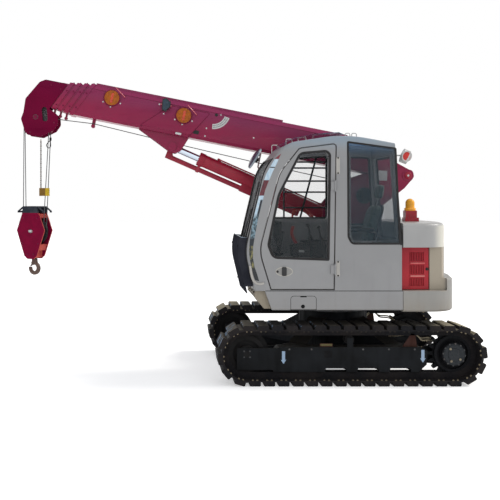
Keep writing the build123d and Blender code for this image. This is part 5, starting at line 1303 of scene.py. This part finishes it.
# Welds, bolts of the slide pads round each collar, bolts and grease cap of the head
SKIN = [(3.250, -0.050), (3.266, -0.024), (3.066, 0.166), (2.960, 0.272), (2.474, 0.272), (2.655, -0.024),
        (2.675, -0.055)]
welds = Form()
for face in (on_boom(1), on_boom(-1)):
    welds.pipe(bent([face(u, v, 0.1835) for u, v in SKIN], 0.01), 0.0042, 6)
    welds.pipe([face(0.86, 0.290, 0.1800), face(3.93, 0.290, 0.1800)], 0.0026, 6)
welds.put("boom_welds", "boom_red", "weld", "boom_base")

FRONT, REVEAL, STEP = 3.945, 0.081, 0.012
for number, body in enumerate(("boom_base", "boom_section_2", "boom_section_3", "boom_section_4")):
    pads = Form()
    top, half = 0.345 - STEP * number + 0.009, 0.180 - STEP * number + 0.009
    u = FRONT + REVEAL * number - 0.026
    for y in (-half + 0.065, half - 0.065):
        pads.bolt(boom(u, y, top), BOOM_UP, 0.0085, 0.010)
    for face in (on_boom(1), on_boom(-1)):
        for v in (0.22, 0.03):
            pads.bolt(*at(face, u + (0.345 - v) * 0.4748, v - STEP * number * 0.3, half), 0.0075, 0.006)
    pads.put(f"pad_bolts_{number + 1}", "boom_red", "weld", body)

HEAD_FACE = 0.1443
head_bits = Form()
for face in (on_boom(1), on_boom(-1)):
    for u, v in ((4.300, -0.200), (4.560, -0.368), (4.420, 0.240), (4.300, 0.215), (4.300, 0.060)):
        head_bits.bolt(*at(face, u, v, HEAD_FACE), 0.009, 0.007)
    head_bits.knob(*at(face, 4.533, -0.176, HEAD_FACE + 0.0005), 0.026, 0.005, 0.020, 0.008, 28)
head_bits.put("head_bolts", "boom_red", "weld", "boom_section_5")

# Chain of the over-hoist weight, and the looped tail of the hoist rope
CHAIN, CHAIN_LOW, PITCH = Vector((3.519, -0.1452, 0)), 2.141, 0.026
weight_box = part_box("overhoist_weight")
links = Form()
for k in range(int((weight_box[1][2] - CHAIN_LOW) / PITCH)):
    z = CHAIN_LOW + 0.014 + PITCH * k
    turn = pi / 4 if k % 2 else -pi / 4
    links.pipe([CHAIN + Vector((0.0085 * s * cos(turn), 0.0085 * s * sin(turn), z + 0.0165 * c))
                for c, s in circle(12, 1)], 0.0032, 6, closed=True)
links.put("weight_chain", "pin_steel", "chain", "hook_falls")

run = [(3.4130, -0.2510, 2.770), (3.4135, -0.2380, 2.745), (3.420, -0.236, 2.722), (3.444, -0.236, 2.700),
       (3.462, -0.236, 2.668), (3.450, -0.236, 2.640), (3.425, -0.236, 2.636), (3.412, -0.238, 2.660),
       (3.4145, -0.240, 2.700), (3.4150, -0.2405, 2.728)]
Form().pipe(smooth_run(run), 0.0050, 8).put("rope_tail", "wire_rope", "gasket", "hook_falls")
grips = Form()
for z in (2.733, 2.752):
    grips.pipe([(x, -0.2445, z) for x in (3.402, 3.4140, 3.428)], 0.0095, 10)
grips.put("rope_grips", "pin_steel", "sheave", "hook_falls")

# Hook block: bolts, keeper plates over the pin, latch spring
bits, keepers = Form(), Form()
for face in (on_block(1), on_block(-1)):
    for u, v in ((0.114, -0.150), (0.100, 0.160), (0.045, -0.280)):
        bits.bolt(*at(face, u, v, 0.088), 0.0085, 0.007).bolt(*at(face, -u, v, 0.088), 0.0085, 0.007)
    for u in (-0.020, 0.020):
        bits.bolt(*at(face, u, 0, 0.091), 0.004, 0.003)
    keepers.slab(face, panel(-0.028, 0.012, 0.028, -0.012, 0.004), 0.0882, 0.0912)
bits.put("block_bolts", "block_red", "weld", "hook_block")
keepers.put("block_keepers", "pin_steel", "plate", "hook_block")
spring = coil(lambda u, v, w: on_block()(0.024 + u, -0.396 + v, w), 0.0065, -0.017, 0.017, 6, 10)
Form().pipe(spring, 0.0013, 5).put("latch_spring", "hook_steel", "chain", "hook")

# Lift cylinder: channel that shields the guide bar, fittings and bolts
sides = rounded([(0.36, -0.060), (1.13, -0.060), (1.155, -0.150), (1.13, -0.163), (0.36, -0.163)],
                [0.01, 0.01, 0.02, 0.01, 0.01])
channel = Form().slab(on_lift, sides, 0.0345, 0.0385).slab(on_lift, sides, -0.0385, -0.0345)
for u in (0.42, 0.72, 1.02):
    channel.pipe([on_lift(u, -0.075, w) for w in (-0.0375, 0, 0.0375)], 0.006, 8)
channel.put("bar_channel", "boom_red", "barrel_red", "lift_barrel")
fittings = Form()
for u in (0.165, 1.515):
    fittings.knob(on_lift(u, 0.090, 0), LIFT_ALONG, 0.014, 0.004, 0.011, 0.016, 6, -0.016)
for v, w in circle(8, 0.068):
    fittings.bolt(on_lift(1.745, v, w), LIFT_ALONG, 0.006)
fittings.put("cylinder_fittings", "pin_steel", "barrel_red", "lift_barrel")

# Operator's seat: cushions blown up as cloth, hard shell, armrests, pedestal with its bellows

def oval_row(half_x, half_y, z, power):
    """Level row of points on a rounded rectangle."""
    def bulge(share):
        return abs(share) ** (2 / power) * (1 if share > 0 else -1)

    return [Vector((half_x * bulge(c), half_y * bulge(s), z)) for c, s in circle(48, 1)]


def pad_rows(half_x, half_y, thick):
    """Rows of a flat pad with a crowned top and pulled-in sides."""
    levels = ((0.90, 0.0), (0.985, 0.10), (0.995, 0.30), (0.975, 0.50), (0.995, 0.70), (0.97, 0.88),
              (0.90, 0.96), (0.70, 1.0), (0.35, 1.03))
    return [oval_row(half_x * share, half_y * share, thick * level, 4.5 if level < 0.95 else 3.0)
            for share, level in levels]


def blown(mesh, cap):
    """The mesh after twenty frames of pressure, no point of it moved further than the cap."""
    soft = bpy.data.objects.new("soft_form", mesh)
    bpy.context.collection.objects.link(soft)
    rest = [vertex.co.copy() for vertex in mesh.vertices]
    cloth_modifier = soft.modifiers.new("cloth", "CLOTH")
    cloth_modifier.settings.use_pressure = True
    cloth_modifier.settings.uniform_pressure_force = 4.0
    cloth_modifier.settings.effector_weights.gravity = 0.0
    cloth_modifier.settings.tension_stiffness = 15
    cloth_modifier.settings.bending_stiffness = 0.5
    cloth_modifier.point_cache.frame_start = 1
    cloth_modifier.point_cache.frame_end = 20
    scene = bpy.context.scene
    for number in range(1, 21):
        scene.frame_set(number)
    result = bpy.data.meshes.new_from_object(soft.evaluated_get(bpy.context.evaluated_depsgraph_get()))
    scene.frame_set(1)
    bpy.data.objects.remove(soft)
    for vertex, start in zip(result.vertices, rest):
        travel = vertex.co - start
        if travel.length > cap:
            vertex.co = start + travel * (cap / travel.length)
    return result


def soft_pad(name, half_x, half_y, thick, place, cap, voxel, dents):
    """Cushion: its mesh is remeshed, blown up as cloth with a cap on its travel, then grooved and placed."""
    body = bpy.data.objects.new(name + "_form", Form().loft(pad_rows(half_x, half_y, thick)).mesh())
    bpy.context.collection.objects.link(body)
    remesh = body.modifiers.new("even", "REMESH")
    remesh.mode = "VOXEL"
    remesh.voxel_size = voxel
    shape = bpy.data.meshes.new_from_object(body.evaluated_get(bpy.context.evaluated_depsgraph_get()))
    bpy.data.objects.remove(body)
    shape = blown(shape, cap)
    # channels sewn across the pad, each a groove (axis, place, width, depth) pulled towards the seam
    for vertex in shape.vertices:
        pull = sum(depth * max(0.0, 1 - abs(vertex.co[axis] - spot) / width) ** 2
                   for axis, spot, width, depth in dents)
        if vertex.co.z > thick * 0.55:
            vertex.co.z -= pull
        vertex.co = place(vertex.co)
    piece = put(name, shape, "fabric", smooth=180)
    smooth = piece.modifiers.new("fine", "SUBSURF")
    smooth.levels = smooth.render_levels = 1
    return piece


def seat_place(p):
    """Seat cushion: level, its front lifted a little."""
    return Vector((p.x, SEAT_Y + p.y, 1.362 + p.z + 0.02 * p.x))


def leaning(degrees, x, z, rise=0.0):
    """Place of a pad whose length runs up from a point, leaning back."""
    c, s = cos(radians(degrees)), sin(radians(degrees))
    return lambda p: Vector((x + (p.x + rise) * s + p.z * c, SEAT_Y + p.y, z + (p.x + rise) * c - p.z * s))


def grooves(y, xs):
    """Seams along a pad at y to either side, and across it at each x."""
    return [(1, y, 0.012, 0.010), (1, -y, 0.012, 0.010)] + [(0, x, 0.010, 0.007) for x in xs]


back_place, head_place = leaning(-15.5, -0.288, 1.480, 0.245), leaning(-10, -0.438, 2.085)
pads = [
    soft_pad("seat_cushion", 0.235, 0.222, 0.078, seat_place, 0.024, 0.006, grooves(0.125, (0.06, -0.08))),
    soft_pad("seat_back", 0.235, 0.205, 0.072, back_place, 0.022, 0.006, grooves(0.115, (0.10, -0.04))),
    soft_pad("seat_headrest", 0.080, 0.108, 0.052, head_place, 0.014, 0.005, [(0, 0.0, 0.008, 0.004)]),
]

ARM_OUTLINE = rounded([(0.055, 1.645), (0.055, 1.684), (-0.28, 1.690), (-0.295, 1.650)],
                      [0.017, 0.017, 0.019, 0.018])
shell, arms = Form(), Form()
shell.loft([[seat_place(p) - Vector((0, 0, 0.014)) for p in row] for row in pad_rows(0.240, 0.224, 0.020)])
shell.loft([[back_place(p - Vector((0, 0, 0.018))) for p in row] for row in pad_rows(0.240, 0.212, 0.022)])
for y in (SEAT_Y - 0.055, SEAT_Y + 0.055):
    shell.pipe([(-0.380, y, 1.93), (-0.398, y, 1.99), (-0.418, y, 2.07)], 0.0065, 10)
for hand in (1, -1):
    arm_y = SEAT_Y + hand * 0.285
    run = [(-0.300, arm_y - hand * 0.045, 1.560), (-0.300, arm_y, 1.630), (-0.230, arm_y, 1.652)]
    shell.pipe(bent(run, 0.03), 0.014, 12)
    arms.slab(side, ARM_OUTLINE, arm_y - 0.026, arm_y + 0.026)
shell.put("seat_shell", "console_plastic", "plastic", bevel=0.002)
arms.put("seat_armrests", "console_plastic", "gasket", bevel=0.010)
levels = [(0.195, 0.148, 1.0640), (0.195, 0.148, 1.148)]
for k in range(7):
    levels += [(0.178, 0.135, 1.150 + 0.027 * k), (0.156, 0.116, 1.1635 + 0.027 * k)]
levels += [(0.19, 0.14, 1.338), (0.19, 0.14, 1.350)]
stand = Form().loft([[p + Vector((-0.010, SEAT_Y, 0)) for p in oval_row(a, b, z, 5.0)] for a, b, z in levels])
stand.put("seat_pedestal", "console_plastic", "gasket", smooth=30)
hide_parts("operator_seat")

# Rope from the winch along the boom's underside, one piece for each stretch between two of the boom's parts
ROPE_Y = 0.031
rope_stops = [
    ("superstructure", "boom_base", (0.560, -0.228), (3.840, -0.113)),
    ("boom_base", "boom_section_2", (3.840, -0.113), (4.183, -0.139)),
    ("boom_section_2", "boom_section_3", (4.183, -0.139), (4.258, -0.143)),
    ("boom_section_3", "boom_section_4", (4.258, -0.143), (4.333, -0.147)),
    ("boom_section_4", "boom_section_5", (4.333, -0.147), (4.385, -0.170)),
]
for number, (first, second, (u0, v0), (u1, v1)) in enumerate(rope_stops):
    steps, sag, y0 = (6, 0.0, ROPE_Y) if number else (60, 0.012, 0.180)
    run = [boom(u0 + (u1 - u0) * t, y0 + (ROPE_Y - y0) * t, v0 + (v1 - v0) * t - sag * sin(pi * t))
           for t in (k / steps for k in range(steps + 1))]
    piece = Form().pipe(run, 0.005, 8).put(f"hoist_rope_{number + 1}", "wire_rope", "rope", None)
    if number == 0:
        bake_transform(piece)
    else:
        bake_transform(piece)
